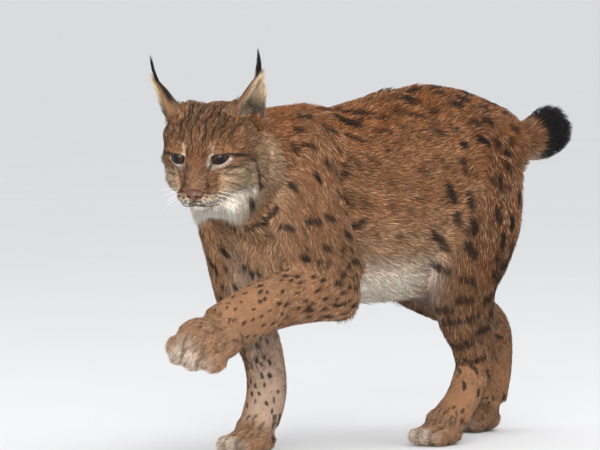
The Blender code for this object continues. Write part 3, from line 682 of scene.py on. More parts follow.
# The tufts' length, width, first lift in degrees, and how densely they stand on each kind of run
TUFT_LENGTH = {"trunk": 0.0265, "neck": 0.0270, "tail": 0.0240, "fore": 0.0135, "hind": 0.0160,
               "paw": 0.0105, "head": 0.0110, "ear": 0.0065}
TUFT_WIDTH = {"trunk": 0.0016, "neck": 0.0016, "tail": 0.0015, "fore": 0.0011, "hind": 0.0012,
              "paw": 0.0010, "head": 0.0009, "ear": 0.0008}
TUFT_LIFT = {"trunk": 42, "neck": 42, "tail": 46, "fore": 30, "hind": 30, "paw": 32, "head": 26, "ear": 14}
DENSITY = {"trunk": 10.0, "neck": 11.0, "tail": 16.0, "fore": 24.0, "hind": 22.0,
           "paw": 40.0, "head": 70.0, "ear": 60.0}


def srgb(red, green, blue):
    """Linear colour of one given in steps of 255."""
    parts = (c / 255 for c in (red, green, blue))
    return tuple(c / 12.92 if c <= 10 / 255 else ((c + 0.055) / 1.055) ** 2.4 for c in parts)


RUFOUS = srgb(144, 90, 50)
BROWN = srgb(118, 76, 46)
TAN = srgb(148, 106, 74)
FLANK = srgb(164, 114, 76)
GREY_TAN = srgb(178, 142, 110)
PALE = srgb(232, 218, 202)
WHITE = srgb(250, 243, 230)
CREAM = srgb(228, 202, 168)
CUP = srgb(182, 160, 134)
CUP_BASE = srgb(104, 90, 76)
DARK = srgb(38, 28, 22)
BLACK = srgb(20, 17, 17)
NOSE_SKIN = srgb(92, 56, 42)
IRIS = srgb(60, 42, 30)
EYE_RING = srgb(24, 18, 14)
EYE_WHITE = srgb(110, 84, 64)
LID_EDGE = srgb(34, 25, 21)
LIP = srgb(52, 36, 31)
FLOOR = srgb(222, 222, 223)
THIGH = srgb(116, 70, 38)
FACE_BROWN = srgb(134, 90, 56)
GRIZZLED = srgb(152, 116, 84)
EAR_BASE = srgb(120, 86, 58)
EAR_RIM = srgb(128, 92, 64)
BRIDGE = srgb(118, 76, 48)


def mixed(under, over, share):
    """The first colour, covered by the second as far as each point's share says."""
    share = np.clip(share, 0, 1)[:, None]
    return np.asarray(under) * (1 - share) + np.asarray(over) * share


def waves(points, size, seed):
    """A smooth irregular field between about -1 and 1 with bumps of the given size in metres."""
    random = np.random.default_rng(seed)
    field = np.zeros(len(points))
    for _ in range(6):
        way = unit(random.normal(size=3)) * (2 * math.pi / (size * random.uniform(1.3, 2.6)))
        field += np.sin(points @ way + random.uniform(0, 2 * math.pi))
    return field / 3.0


def drift(points, size, seed):
    """Smooth irregular steps in all three directions."""
    return np.stack([waves(points, size, seed + k) for k in range(3)], 1)


# How far beyond its half width a mark still fades, and how far it goes in along its normal
MARK_REACH = 1.6
MARK_DEPTH = 0.02


class Stroke:
    """A dark mark on the skin from one point to another, with round ends, laid on along its normal."""

    def __init__(self, start, end, half_width, strength, normal, tone=DARK):
        self.start, self.end = np.asarray(start, float), np.asarray(end, float)
        self.half_width, self.strength, self.tone = half_width, strength, tone
        self.normal = unit(normal)

    def cover(self, points, order):
        """Indices of the points near the mark, and how much it covers each. order sorts the points by x."""
        reach = self.half_width * MARK_REACH + MARK_DEPTH
        low = np.minimum(self.start, self.end) - reach
        high = np.maximum(self.start, self.end) + reach
        first, last = np.searchsorted(points[:, 0], (low[0], high[0]), sorter=order)
        near = order[first:last]
        beside = points[near, 1:]
        near = near[((beside > low[1:]) & (beside < high[1:])).all(1)]
        away = points[near] - self.start
        away = away - np.outer(away @ self.normal, self.normal)
        run = self.end - self.start
        run = run - self.normal * (run @ self.normal)
        t = np.clip(away @ run / max(run @ run, 1e-12), 0, 1)
        off = np.linalg.norm(away - np.outer(t, run), axis=1) / self.half_width
        return near, ramp(off, 1.25, 0.70) * self.strength


def mark_at(point, reach, half_width, strength, normal, tone=DARK):
    """A mark that reaches as far to both sides of its middle."""
    return Stroke(point - reach, point + reach, half_width, strength, normal, tone)


# Along the back and flanks: angle in degrees from the ridge, first and last x, count, length,
# half width, tilt in degrees and strength of each row of spots
TRUNK_ROWS = (
    (11, -0.19, 0.29, 10, 0.034, 0.0068, 2, 1.00),
    (27, -0.22, 0.29, 12, 0.028, 0.0066, 10, 0.95),
    (43, -0.24, 0.28, 12, 0.024, 0.0060, 24, 0.72),
    (59, -0.24, 0.27, 13, 0.023, 0.0058, 34, 0.64),
    (75, -0.22, 0.26, 13, 0.022, 0.0058, 42, 0.62),
    (92, -0.20, 0.24, 12, 0.021, 0.0056, 48, 0.56),
    (110, -0.18, 0.20, 11, 0.019, 0.0052, 46, 0.50),
    (127, -0.15, 0.16, 9, 0.016, 0.0046, 50, 0.34),
)


def trunk_strokes(random):
    """Rows of long spots along the back, and fainter slanting streaks down the flanks."""
    bone = BONES[0]
    marks = []
    start = TRUNK[0][0]
    span = TRUNK[-1][0] - start
    for way in (-1, 1):
        for turn, first, last, count, length, half_width, tilt, strength in TRUNK_ROWS:
            for x in np.linspace(first, last, count):
                x += random.uniform(-0.014, 0.014)
                angle = math.radians(turn + random.uniform(-6, 6)) * way
                point, along, round_it = bone.surface((x - start) / span, angle)
                lean = math.radians(tilt + random.uniform(-14, 14))
                run = along * math.cos(lean) + round_it * way * math.sin(lean)
                rear = ramp(np.array(x), 0.05, 0.16)
                reach = run * (length * random.uniform(0.55, 1.2) * (1 - 0.35 * rear) / 2)
                wide = half_width * random.uniform(0.8, 1.3) * (1 + 0.25 * rear)
                amount = min(1.0, strength * random.uniform(0.55, 1.2) * (1 + 0.5 * rear))
                marks.append(mark_at(point, reach, wide, amount, np.cross(along, round_it)))
    return marks


def limb_point(kind, way, along, outer):
    """A place on a leg: how far down it, and the angle in degrees from its outer side towards its front."""
    bones = [b for b in BONES if b.kind == kind and b.side == way and b.along[0] <= along <= b.along[-1]]
    angle = math.radians(90 + outer if way > 0 else 270 - outer)
    return bones[-1].surface(along, angle)


def leg_strokes(kind, rows, random):
    """Rings of spots on both legs of a kind, and on their inner sides."""
    marks = []
    for way in (-1, 1):
        for along, first, last, count, length, half_width, lean in rows:
            for outer in np.linspace(first, last, count):
                outer += random.uniform(-9, 9)
                at = along + random.uniform(-0.012, 0.012)
                point, down, round_it = limb_point(kind, way, min(max(at, 0.0), 1.0), outer)
                tilt = math.radians(lean + random.uniform(-18, 18))
                run = down * math.cos(tilt) + round_it * math.sin(tilt)
                reach = run * (length * random.uniform(0.7, 1.2) / 2)
                wide = half_width * random.uniform(0.8, 1.2)
                amount = random.uniform(0.85, 1.0)
                marks.append(mark_at(point, reach, wide, amount, np.cross(down, round_it)))
    return marks


# Ends of the painted shadow of the ruff, a dark streak on each side of the throat under the ruff: x,
# distance from the middle and z
RUFF_SHADOW_STREAK = ((-0.314, 0.012, 0.384), (-0.313, 0.047, 0.396), (-0.318, 0.084, 0.415))


def ruff_shadow_strokes():
    """The painted shadow of the ruff: a dark streak under each side of it."""
    marks = []
    for way in (-1, 1):
        places = [Vector((x, aside * way, z)) for x, aside, z in RUFF_SHADOW_STREAK]
        for a, b in zip(places, places[1:]):
            # A dark streak of painted shadow under the ruff's edge
            marks.append(Stroke(a, b, 0.0056, 0.95, (-0.75, 0.5 * way, -0.45)))
    return marks


# Each row is a place down the leg, first and last angle in degrees, count, length, half width and lean
HIND_ROWS = (
    (0.13, -45, 60, 3, 0.020, 0.0066, 10),
    (0.22, -60, 75, 5, 0.022, 0.0072, 15), (0.30, -80, 60, 5, 0.022, 0.0074, 20),
    (0.37, -65, 75, 4, 0.026, 0.0070, 60), (0.44, -75, 65, 4, 0.028, 0.0070, 80),
    (0.51, -60, 80, 4, 0.028, 0.0066, 85), (0.58, -80, 60, 4, 0.026, 0.0062, 90),
    (0.65, -60, 150, 5, 0.024, 0.0060, 90), (0.73, -90, 120, 5, 0.018, 0.0052, 90),
    (0.81, -70, 150, 5, 0.014, 0.0044, 60), (0.89, -60, 120, 4, 0.010, 0.0038, 30),
)
FORE_ROWS = (
    (0.08, -50, 60, 3, 0.016, 0.0056, 30), (0.16, -70, 50, 4, 0.016, 0.0056, 50),
    (0.24, -50, 75, 4, 0.018, 0.0054, 80), (0.32, -75, 60, 4, 0.018, 0.0052, 60),
    (0.40, -60, 120, 5, 0.016, 0.0048, 30),
)
# The same small spots all the way down the forearm, finer towards the paw
FOREARM_ROWS = tuple(
    (along, -95 + 12 * (k % 2), 150 + 12 * (k % 2), 9, 0.007 - 0.006 * (along - 0.46),
     0.0042 - 0.0034 * (along - 0.46), 12)
    for k, along in enumerate(np.arange(0.46, 0.99, 0.038))
)


SKULL = on_head(-4.5, 0, -1.5)


def head_line(points, half_width, strength):
    """A curved mark through points in head centimetres, on both sides of the head."""
    marks = []
    for way in (-1, 1):
        places = [on_head(f, l * way, u) for f, l, u in spline(points, 3)]
        for a, b in zip(places, places[1:]):
            marks.append(Stroke(a, b, half_width * 0.01, strength, (a + b) / 2 - SKULL))
    return marks


# Points in head centimetres, half width in centimetres and strength of each line of the face
FACE_LINES = (
    (((2.5, 2.6, -0.6), (3.4, 2.0, -1.9), (4.2, 1.9, -3.4)), 0.20, 0.60),
    (((0.3, 5.5, 0.5), (-0.4, 6.4, 0.1), (-1.4, 7.2, -0.5), (-3.0, 7.7, -1.7), (-3.9, 7.9, -2.9),
      (-4.7, 8.0, -5.1)), 0.24, 0.95),
    (((-4.6, 8.0, -5.0), (-5.0, 7.8, -6.6), (-5.7, 7.4, -8.2)), 0.32, 0.75),
    (((1.4, 4.9, -1.9), (0.4, 5.9, -1.7), (-0.9, 6.7, -2.3), (-1.9, 7.2, -3.7), (-2.4, 7.3, -5.4)),
     0.15, 0.80),
    (((1.9, 4.6, -2.7), (0.7, 5.7, -2.8), (-0.5, 6.3, -3.8), (-1.2, 6.6, -5.2), (-1.6, 6.4, -6.8)),
     0.14, 0.75),
    (((1.9, 4.5, -3.7), (0.9, 5.3, -4.1), (0.1, 5.7, -5.1), (-0.6, 5.8, -6.4)), 0.13, 0.65),
    (((-2.8, 7.8, -1.0), (-4.6, 8.0, -2.0), (-5.8, 7.8, -4.4)), 0.16, 0.40),
    (((0.9, 1.0, 2.6), (-0.6, 1.3, 4.4), (-2.4, 0.9, 5.7), (-4.2, 1.3, 6.4), (-6.4, 0.8, 6.7)), 0.15, 0.80),
    (((0.6, 2.4, 2.7), (-0.8, 2.4, 4.0), (-2.6, 2.8, 5.4), (-4.6, 2.5, 6.3), (-6.6, 2.9, 6.4)), 0.15, 0.70),
    (((0.0, 3.8, 3.0), (-1.6, 3.7, 4.3), (-3.4, 4.2, 5.3), (-5.0, 4.2, 5.8)), 0.16, 0.60),
    (((-1.0, 5.2, 2.6), (-2.6, 5.3, 3.7), (-4.4, 5.9, 4.2)), 0.18, 0.50),
)
# Start, end, half width and strength of the dark patches of the ruff and beside the nose
FACE_PATCHES = (
    ((-4.2, 6.3, -10.2), (-5.4, 6.2, -13.2), 0.80, 0.92),
    ((4.3, 2.1, -3.6), (4.0, 2.3, -4.2), 0.26, 0.60),
    ((4.7, 0.0, -7.3), (4.5, 1.2, -7.5), 0.22, 0.70),
    ((4.9, 0.0, -6.5), (4.7, 1.0, -6.9), 0.15, 0.85),
    ((4.7, 1.0, -6.9), (4.0, 2.2, -7.2), 0.14, 0.85),
    ((4.0, 2.2, -7.2), (2.9, 3.3, -7.2), 0.13, 0.80),
    ((2.9, 3.3, -7.2), (1.4, 4.2, -6.9), 0.13, 0.60),
)


def crown_spots(random):
    """Small dark flecks in rows over the forehead and the crown."""
    marks = []
    for high in range(24, 112, 7):
        for aside in range(-64, 65, 11):
            e = math.radians(high + random.uniform(-4, 4))
            a = math.radians(aside + random.uniform(-5, 5))
            out = Vector((math.cos(e) * math.cos(a), math.sin(a) * (0.55 + 0.45 * math.cos(e)), math.sin(e)))
            back = Vector((-math.sin(e), random.uniform(-0.25, 0.25), math.cos(e)))
            spot = SKULL + HEAD_TURN @ out.normalized() * 0.080
            reach = HEAD_TURN @ back.normalized() * random.uniform(0.003, 0.006)
            half_width = random.uniform(0.0009, 0.0015)
            marks.append(mark_at(spot, reach, half_width, random.uniform(0.35, 0.75), spot - SKULL))
    return marks


# Height in head centimetres and count of the dark spots in each row on the whisker pads
WHISKER_SPOTS = ((-4.5, 4), (-5.1, 5), (-5.7, 5), (-6.2, 4))


def pad_spots():
    """Rows of black spots on the whisker pads."""
    marks = []
    for way in (-1, 1):
        for row, (height, count) in enumerate(WHISKER_SPOTS):
            for k in range(count):
                aside = 1.7 + 0.62 * k + 0.22 * (row % 2)
                spot = on_head(5.2 - 0.16 * aside**2, aside * way, height - 0.10 * k)
                trail = HEAD_TURN @ Vector((-0.3, 0.9 * way, -0.1)) * 0.0014
                marks.append(mark_at(spot, trail, 0.0016, 0.92, spot - on_head(1.0, 0, -4.5), BLACK))
    return marks


def head_strokes(random):
    """Lines, dashes and spots of the face, the same on both sides."""
    marks = []
    for points, half_width, strength in FACE_LINES:
        marks += head_line(points, half_width, strength)
    for start, end, half_width, strength in FACE_PATCHES:
        marks += head_line((start, end), half_width, strength)
    return marks + crown_spots(random) + pad_spots()


def paw_strokes(random):
    """Small spots on the top of each paw, and painted shade in the clefts between its toes."""
    marks = []
    for palm, ahead, down, size, spread, _ in PAWS.values():
        ahead, across, down = paw_axes(ahead, down)
        across = across * spread
        for reach in np.arange(-0.030, 0.036, 0.0095):
            for aside in np.arange(-0.030, 0.031, 0.012):
                step = ahead * (reach + random.uniform(-0.003, 0.003))
                step = step + across * (aside + random.uniform(-0.004, 0.004))
                spot = Vector(palm) + (step - down * 0.020) * size
                trail = ahead * random.uniform(0.001, 0.003)
                half_width = random.uniform(0.0016, 0.0026)
                marks.append(mark_at(spot, trail, half_width, random.uniform(0.5, 0.9), -down))
        # Dark strokes along the clefts between the toes: painted shade in the clefts
        for aside in (-0.0205, 0.0, 0.0205):
            start = Vector(palm) + (ahead * 0.034 + across * aside) * size
            end = Vector(palm) + (ahead * 0.070 + across * aside * 1.05 + down * 0.010) * size
            marks.append(Stroke(start, end, 0.0022, 0.55, -down + ahead * 0.4))
    return marks


def all_strokes():
    random = np.random.default_rng(SEED)
    marks = trunk_strokes(random)
    marks += leg_strokes("hind", HIND_ROWS, random)
    marks += leg_strokes("fore", FORE_ROWS + FOREARM_ROWS, random)
    marks += ruff_shadow_strokes()
    return marks + paw_strokes(random) + head_strokes(random)


STROKES = all_strokes()


def body_colour(places):
    """Ground colour of the trunk, neck, tail, legs and paws. Turns are radians from the top of a run."""
    x = places.points[:, 0]
    turn = np.abs(places.angle["trunk"])
    between_legs = ramp(x, -0.20, -0.08) * ramp(x, 0.22, 0.10)
    trunk = mixed(RUFOUS, FLANK, ramp(turn, 0.5, 1.35) * ramp(x, 0.22, 0.08))
    # Grey-tan underside: partly the coat's own paler underside, partly painted light from below on the chest
    trunk = mixed(trunk, GREY_TAN, ramp(turn, 1.5, 2.2) * (0.60 + 0.40 * between_legs))
    trunk = mixed(trunk, PALE, ramp(turn, 2.05, 2.5) * between_legs)
    turn = np.abs(places.angle["neck"])
    f, _, u = places.head.T
    # Grey-tan under the neck: partly its own colour, partly painted light from below
    neck = mixed(mixed(RUFOUS, TAN, ramp(turn, 0.6, 1.6)), GREY_TAN, ramp(turn, 1.9, 2.8) * 0.80)
    mane = ramp(f, -5.0, -7.0) * ramp(f, -13.0, -10.5) * ramp(u, 1.0, -3.0)
    neck = mixed(neck, CREAM, 0.50 * mane)
    tail = mixed(TAN, CREAM, ramp(np.abs(places.angle["tail"]), 1.8, 2.8) * 0.5)
    inner = ramp(places.points[:, 1] * places.side, 0.075, 0.045)
    shoulder = ramp(places.along["fore"], 0.40, 0.10)
    fore = mixed(mixed(TAN, RUFOUS, 0.55 * shoulder), PALE, inner * 0.28 * (1 - shoulder))
    hind = mixed(TAN, THIGH, 0.95 * ramp(places.along["hind"], 0.75, 0.35))
    hind = mixed(hind, PALE, inner * 0.45 * ramp(places.along["hind"], 0.8, 0.5))
    paw = mixed(TAN, PALE, 0.05 + 0.60 * ramp(places.along["paw"], 0.62, 0.98))
    tints = {"trunk": trunk, "neck": neck, "tail": tail, "fore": fore, "hind": hind, "paw": paw}
    return sum(tint * places.share[kind][:, None] for kind, tint in tints.items())


def head_colour(places):
    """Ground colour of the head in head centimetres, the same on both sides."""
    f, l, u = places.head.T
    side = np.abs(l)
    colour = mixed(FACE_BROWN, BROWN, ramp(u, 3.0, 4.6) * 0.5)
    colour = mixed(colour, BRIDGE, ramp(side, 2.3, 1.2) * ramp(f, 0.6, 2.2) * ramp(u, 2.4, 1.0))
    colour = mixed(colour, GRIZZLED, ramp(f, -2.5, -5.0) * ramp(u, 3.0, -1.0) * 0.70)
    colour = mixed(colour, CREAM, ramp(u, -0.8, -2.8) * ramp(side, 3.0, 4.6) * ramp(f, -6.5, -3.5) * 0.92)
    off, high = off_the_eyes(places.points)
    rim = ramp(off, 0.0004, 0.0012) * ramp(off, 0.0086, 0.0066) * ramp(high, 0.0050, 0.0014)
    colour = mixed(colour, WHITE, rim * ramp(f, -1.6, -0.6))
    over_eye = np.sqrt(((side - 2.35) / 0.42) ** 2 + ((u - 1.5) / 1.35) ** 2)
    colour = mixed(colour, CREAM, ramp(over_eye, 1.2, 0.6) * 0.75 * ramp(f, -0.6, 0.6))
    pads = ramp(u, -4.4, -5.6) * ramp(f, 0.2, 1.6) * ramp(side, 0.9, 1.5)
    colour = mixed(colour, CREAM, pads)
    colour = mixed(colour, WHITE, pads * ramp(u, -5.2, -6.2))
    chin = ramp(u, -6.2, -6.8) * ramp(f, -7.0, -4.0)
    colour = mixed(colour, WHITE, chin)
    beard = ramp(u, -5.4, -7.0) * ramp(f, -9.0, -6.0) * ramp(side, 7.5, 5.5)
    return mixed(colour, WHITE, beard)


def ear_colour(places):
    """Black behind with a paler spot and tan rims, pale hair in the cup."""
    turn = np.abs(places.angle["ear"])
    height = places.along["ear"]
    back = mixed(BLACK, GREY_TAN, ramp(np.abs(height - 0.45), 0.22, 0.08) * ramp(turn, 0.9, 0.3))
    back = mixed(back, EAR_BASE, ramp(height, 0.56, 0.36))
    return mixed(back, EAR_RIM, ramp(turn, 1.25, 1.6) * ramp(height, 0.98, 0.80) * ramp(height, 0.2, 0.4))


def coat_colour(points, cup=None):
    """Linear colours of the coat at the points. cup is 1 where a point lies in the ear's cup."""
    places = Places(points)
    colour = body_colour(places)
    colour += head_colour(places) * places.share["head"][:, None]
    ear = ear_colour(places)
    if cup is not None:
        inner = mixed(CUP_BASE, CUP, ramp(places.along["ear"], 0.36, 0.58))
        ear = mixed(ear, inner, cup)
    colour += ear * places.share["ear"][:, None]
    tone = 1 + 0.10 * waves(points, 0.050, 1) + 0.07 * waves(points, 0.016, 2)
    colour *= tone[:, None]
    wobble = points + 0.0016 * drift(points, 0.010, 3)
    not_ear = 1 - places.share["ear"]
    order = np.argsort(wobble[:, 0])
    for mark in STROKES:
        near, amount = mark.cover(wobble, order)
        colour[near] = mixed(colour[near], mark.tone, amount * not_ear[near])
    tip = ramp(points[:, 0], 0.382, 0.398) * places.share["tail"]
    return np.clip(mixed(colour, BLACK, tip), 0.004, 1), places


def vertex_array(mesh, attribute="co"):
    values = np.empty(len(mesh.vertices) * 3, np.float32)
    mesh.vertices.foreach_get(attribute, values)
    return values.reshape(-1, 3).astype(float)


def normals_of(mesh):
    values = np.empty(len(mesh.vertices) * 3, np.float32)
    mesh.vertex_normals.foreach_get("vector", values)
    return values.reshape(-1, 3).astype(float)


def paint_vertices(mesh, colours):
    layer = mesh.color_attributes.new("Coat", "FLOAT_COLOR", "POINT")
    values = np.ones((len(colours), 4), np.float32)
    values[:, :3] = colours
    layer.data.foreach_set("color", values.ravel())


def opening_outline(sides):
    """Points (out, up) of the opening between the lids, its upper edge highest towards the nose."""
    wide, above, below = EYE_OPEN
    rows = []
    for i in range(sides):
        angle = 2 * math.pi * i / sides
        across, rise = math.cos(angle), math.sin(angle)
        high = above * (1 - 0.46 * across) if rise > 0 else below * (1 + 0.15 * across)
        rows.append((wide * across, high * abs(rise) ** 1.25 * math.copysign(1, rise)))
    return rows


# How far from the eye's middle the prism that opens the lids begins and ends
ALMOND_ENDS = (0.001, 0.05)
# Room between the eyeball and the skin round it
SOCKET_GAP = 0.0002


def almond(way):
    """A prism whose section is the opening between the lids."""
    look, out, up = eye_axes(way)
    centre = eye_place(way)
    outline = opening_outline(48)
    points = []
    for depth in ALMOND_ENDS:
        points += [centre + look * depth + out * a + up * b for a, b in outline]
    points += [centre + look * depth for depth in ALMOND_ENDS]
    return face_out(mesh_object("almond", points, ring_faces(2, len(outline))))


# Half the turn of the ear round its axis, and its thickness at the root and how much less at the tip
EAR_HALF_TURN = math.radians(108)
EAR_THICK = 0.0030
EAR_THINNING = 0.0014
EAR_EDGE = 0.0006


def ear_shell(way):
    """A thin cupped ear, its opening turned outwards and a little forward."""
    base, tip, _, axis, opening, side = ear_frame(way)
    length = (tip - base).length
    arc = 25
    rows = spline(EAR_CUP, 5)
    points = []
    for t, wide, deep in rows:
        thick = EAR_THICK - EAR_THINNING * t
        centre = base + axis * (length * t)
        for inward, angles in ((0.0, np.linspace(-EAR_HALF_TURN, EAR_HALF_TURN, arc)),
                               (thick, np.linspace(EAR_HALF_TURN, -EAR_HALF_TURN, arc))):
            for angle in angles:
                points.append(centre + side * (math.sin(angle) * max(wide - inward, EAR_EDGE))
                              - opening * (math.cos(angle) * max(deep - inward, EAR_EDGE)))
    sides = 2 * arc
    faces = ring_faces(len(rows), sides)[:(len(rows) - 1) * sides]
    for i in range(arc - 1):
        low = (i, i + 1, sides - 2 - i, sides - 1 - i)
        faces += [low, tuple((len(rows) - 1) * sides + j for j in reversed(low))]
    return face_out(mesh_object("ear", points, faces))


def tube(name, points, radius, across, steps=3):
    """A thin round tube along a few points."""
    return limb(name, [(*point, radius, radius) for point in points], across, sides=8, steps=steps)


# Radii of the tubes of the mouth line, the cleft under the nose, the rim of the lids and its inner corner
MOUTH_R = 0.0008
CLEFT_R = 0.0009
RIM_R = 0.00085
TEAR_R = 0.0010
# The line of the mouth and the cleft, in head centimetres
MOUTH = [(2.9, -3.3, -7.2), (4.0, -2.2, -7.2), (4.7, -1.0, -6.9), (4.9, 0, -6.5),
         (4.7, 1.0, -6.9), (4.0, 2.2, -7.2), (2.9, 3.3, -7.2)]
CLEFT = [(5.35, 0, -5.5), (5.25, 0, -6.0), (5.0, 0, -6.5)]


def toe_clefts():
    """Thin blades that cut the clefts between the toes of all paws."""
    pieces = []
    for palm, ahead, down, size, spread, _ in PAWS.values():
        ahead, across, down = paw_axes(ahead, down)
        axes = Matrix((ahead, across, down)).transposed()
        for aside, reach in CLEFT_PLACES:
            centre = Vector(palm) + (ahead * reach + across * aside * spread - down * CLEFT_RISE) * size
            pieces.append(paw_ball("cleft", centre, CLEFT_RADII, axes, size))
    return join("clefts", pieces)


def body_skin():
    """The whole animal in one closed skin, inside the solids by the depth of its coat."""
    runs = (NECK, TRUNK, UPPER_ARM_LEFT, FOREARM_LEFT, FORELEG_RIGHT, HINDLEG_LEFT, THIGH_RIGHT,
            SHANK_RIGHT, TAIL)
    pieces = [limb("run", stations) for stations in runs] + paw_pieces() + head_pieces()
    skin = fused("skin", pieces, SKIN_VOXEL, SKIN_ROUNDS)
    points = vertex_array(skin.data)
    places = Places(points)
    depth = places.blend(COAT_DEPTH) + LONG_HAIR_DEPTH * places.belly() + LONG_HAIR_DEPTH * places.ruff()
    depth -= FACE_DEPTH_LESS * places.face() + ANKLE_DEPTH_LESS * places.ankle()
    points -= normals_of(skin.data) * depth[:, None]
    points[:, 2] = np.maximum(points[:, 2], 0.0)
    skin.data.vertices.foreach_set("co", points.astype(np.float32).ravel())
    skin.data.update()
    boolean(skin, toe_clefts(), "DIFFERENCE")
    for way in (-1, 1):
        boolean(skin, ear_shell(way), "UNION")
        lid = ball("lid", eye_place(way), (LID_R,) * 3, HEAD_TURN, 64)
        socket = ball("socket", eye_place(way), (EYE_R + SOCKET_GAP,) * 3, HEAD_TURN, 64)
        boolean(skin, lid, "UNION")
        boolean(skin, almond(way), "DIFFERENCE")
        boolean(skin, socket, "DIFFERENCE")
    return skin


def cup_share(points, normals, places):
    """1 on the inner face of the ears."""
    share = np.zeros(len(points))
    for way in (-1, 1):
        height, off, _, _ = ear_place(points, way)
        mine = (height > 0.1) & (height < 1.02) & (off < 0.99) & (places.share["ear"] > 0.4)
        share[mine] = ramp(normals[mine] @ np.array(ear_frame(way)[4]), -0.1, 0.25)
    return share


def settle(obj, slot, *nodes):
    """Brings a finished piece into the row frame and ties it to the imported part."""
    obj.data.transform(Matrix.Translation(SHIFT))
    if nodes:
        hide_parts(*nodes)
    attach(obj, "root")
    return obj


FLESH_NODES = [name for name in frame["nodes"] if not name.startswith(("eye", "nose"))]


class Sampler:
    """Random places spread over the skin's faces."""

    def __init__(self, skin):
        mesh = skin.data
        mesh.calc_loop_triangles()
        corners = np.empty(len(mesh.loop_triangles) * 3, np.int32)
        mesh.loop_triangles.foreach_get("vertices", corners)
        self.corners = corners.reshape(-1, 3)
        self.points = vertex_array(mesh)
        self.normals = normals_of(mesh)
        a, b, c = (self.points[self.corners[:, k]] for k in range(3))
        self.middles = (a + b + c) / 3
        cross = np.cross(b - a, c - a)
        self.areas = np.linalg.norm(cross, axis=1) / 2
        self.facing = unit(cross)

    def roots(self, weights, count, random):
        """count places, more where weights times area is greater: points, normals and face numbers."""
        chance = weights * self.areas
        chosen = np.searchsorted(np.cumsum(chance), random.uniform(0, chance.sum(), count))
        chosen = np.minimum(chosen, len(self.corners) - 1)
        r, s = np.sqrt(random.uniform(size=count)), random.uniform(size=count)
        shares = np.stack([1 - r, r * (1 - s), r * s], 1)
        corners = self.corners[chosen]
        points = (self.points[corners] * shares[:, :, None]).sum(1)
        normals = unit((self.normals[corners] * shares[:, :, None]).sum(1))
        return points, normals, chosen


# Left, low edge, width and height of each kind's field in the square of the unwrap, and its margin
BAKE_FIELDS = {
    "trunk": (0.0, 0.0, 0.62, 0.62),
    "neck": (0.62, 0.0, 0.38, 0.30),
    "tail": (0.62, 0.30, 0.38, 0.16),
    "fore": (0.0, 0.62, 0.30, 0.38),
    "hind": (0.30, 0.62, 0.32, 0.38),
    "paw": (0.62, 0.46, 0.38, 0.16),
    "head": (0.62, 0.62, 0.38, 0.38),
}
BAKE_MARGIN = 0.01
# Side of the patch that one tuft takes on the unwrap
BAKE_PATCH = 0.003


def bake_place(places):
    """An unwrap of the skin: each run of the body as a rolled-out strip in its own field of the square."""
    best = places.nearest()
    f, l, u = places.head.T
    result = np.zeros((len(f), 2))
    for number, kind in enumerate(KINDS):
        mine = best == number
        left, low, wide, high = BAKE_FIELDS["head" if kind == "ear" else kind]
        if kind in ("head", "ear"):
            across = 0.5 + np.arctan2(l, f + 5.0) / (2 * math.pi)
            upright = 0.5 + np.arctan2(u + 2.0, np.hypot(l, f + 5.0)) / math.pi
        else:
            across = places.along[kind]
            upright = 0.5 + places.angle[kind] / (2 * math.pi)
            if kind in ("fore", "hind", "paw"):
                upright = (upright + (places.side > 0)) / 2
        result[mine, 0] = left + BAKE_MARGIN + (wide - 2 * BAKE_MARGIN) * np.clip(across[mine], 0, 1)
        result[mine, 1] = low + BAKE_MARGIN + (high - 2 * BAKE_MARGIN) * np.clip(upright[mine], 0, 1)
    return result


# Corners of a tuft's section, aside and outward in tuft widths, and its width at root and bend
TUFT_SECTION = ((-0.5, -0.2), (0.5, -0.2), (0.0, 0.45))
ROOT_WIDTH = 0.75
BEND_WIDTH = 0.62


def tuft_triangles(levels):
    """Corners of the triangles of one closed tuft: its foot, its sides level by level, and its tip."""
    triangles = [(0, 2, 1)]
    for level in range(levels - 2):
        for k in range(3):
            a, b = 3 * level + k, 3 * level + (k + 1) % 3
            triangles += [(a, b, b + 3), (a, b + 3, a + 3)]
    last = 3 * (levels - 2)
    return np.array(triangles + [(last + k, last + (k + 1) % 3, last + 3) for k in range(3)])


def triangle_mesh(name, points, faces):
    """A smooth mesh from arrays of points and triangles."""
    mesh = bpy.data.meshes.new(name)
    mesh.vertices.add(len(points))
    mesh.vertices.foreach_set("co", points.astype(np.float32).ravel())
    mesh.loops.add(faces.size)
    mesh.loops.foreach_set("vertex_index", faces.astype(np.int32).ravel())
    mesh.polygons.add(len(faces))
    mesh.polygons.foreach_set("loop_start", np.arange(0, faces.size, 3, dtype=np.int32))
    mesh.polygons.foreach_set("use_smooth", np.ones(len(faces), bool))
    mesh.update(calc_edges=True)
    return mesh


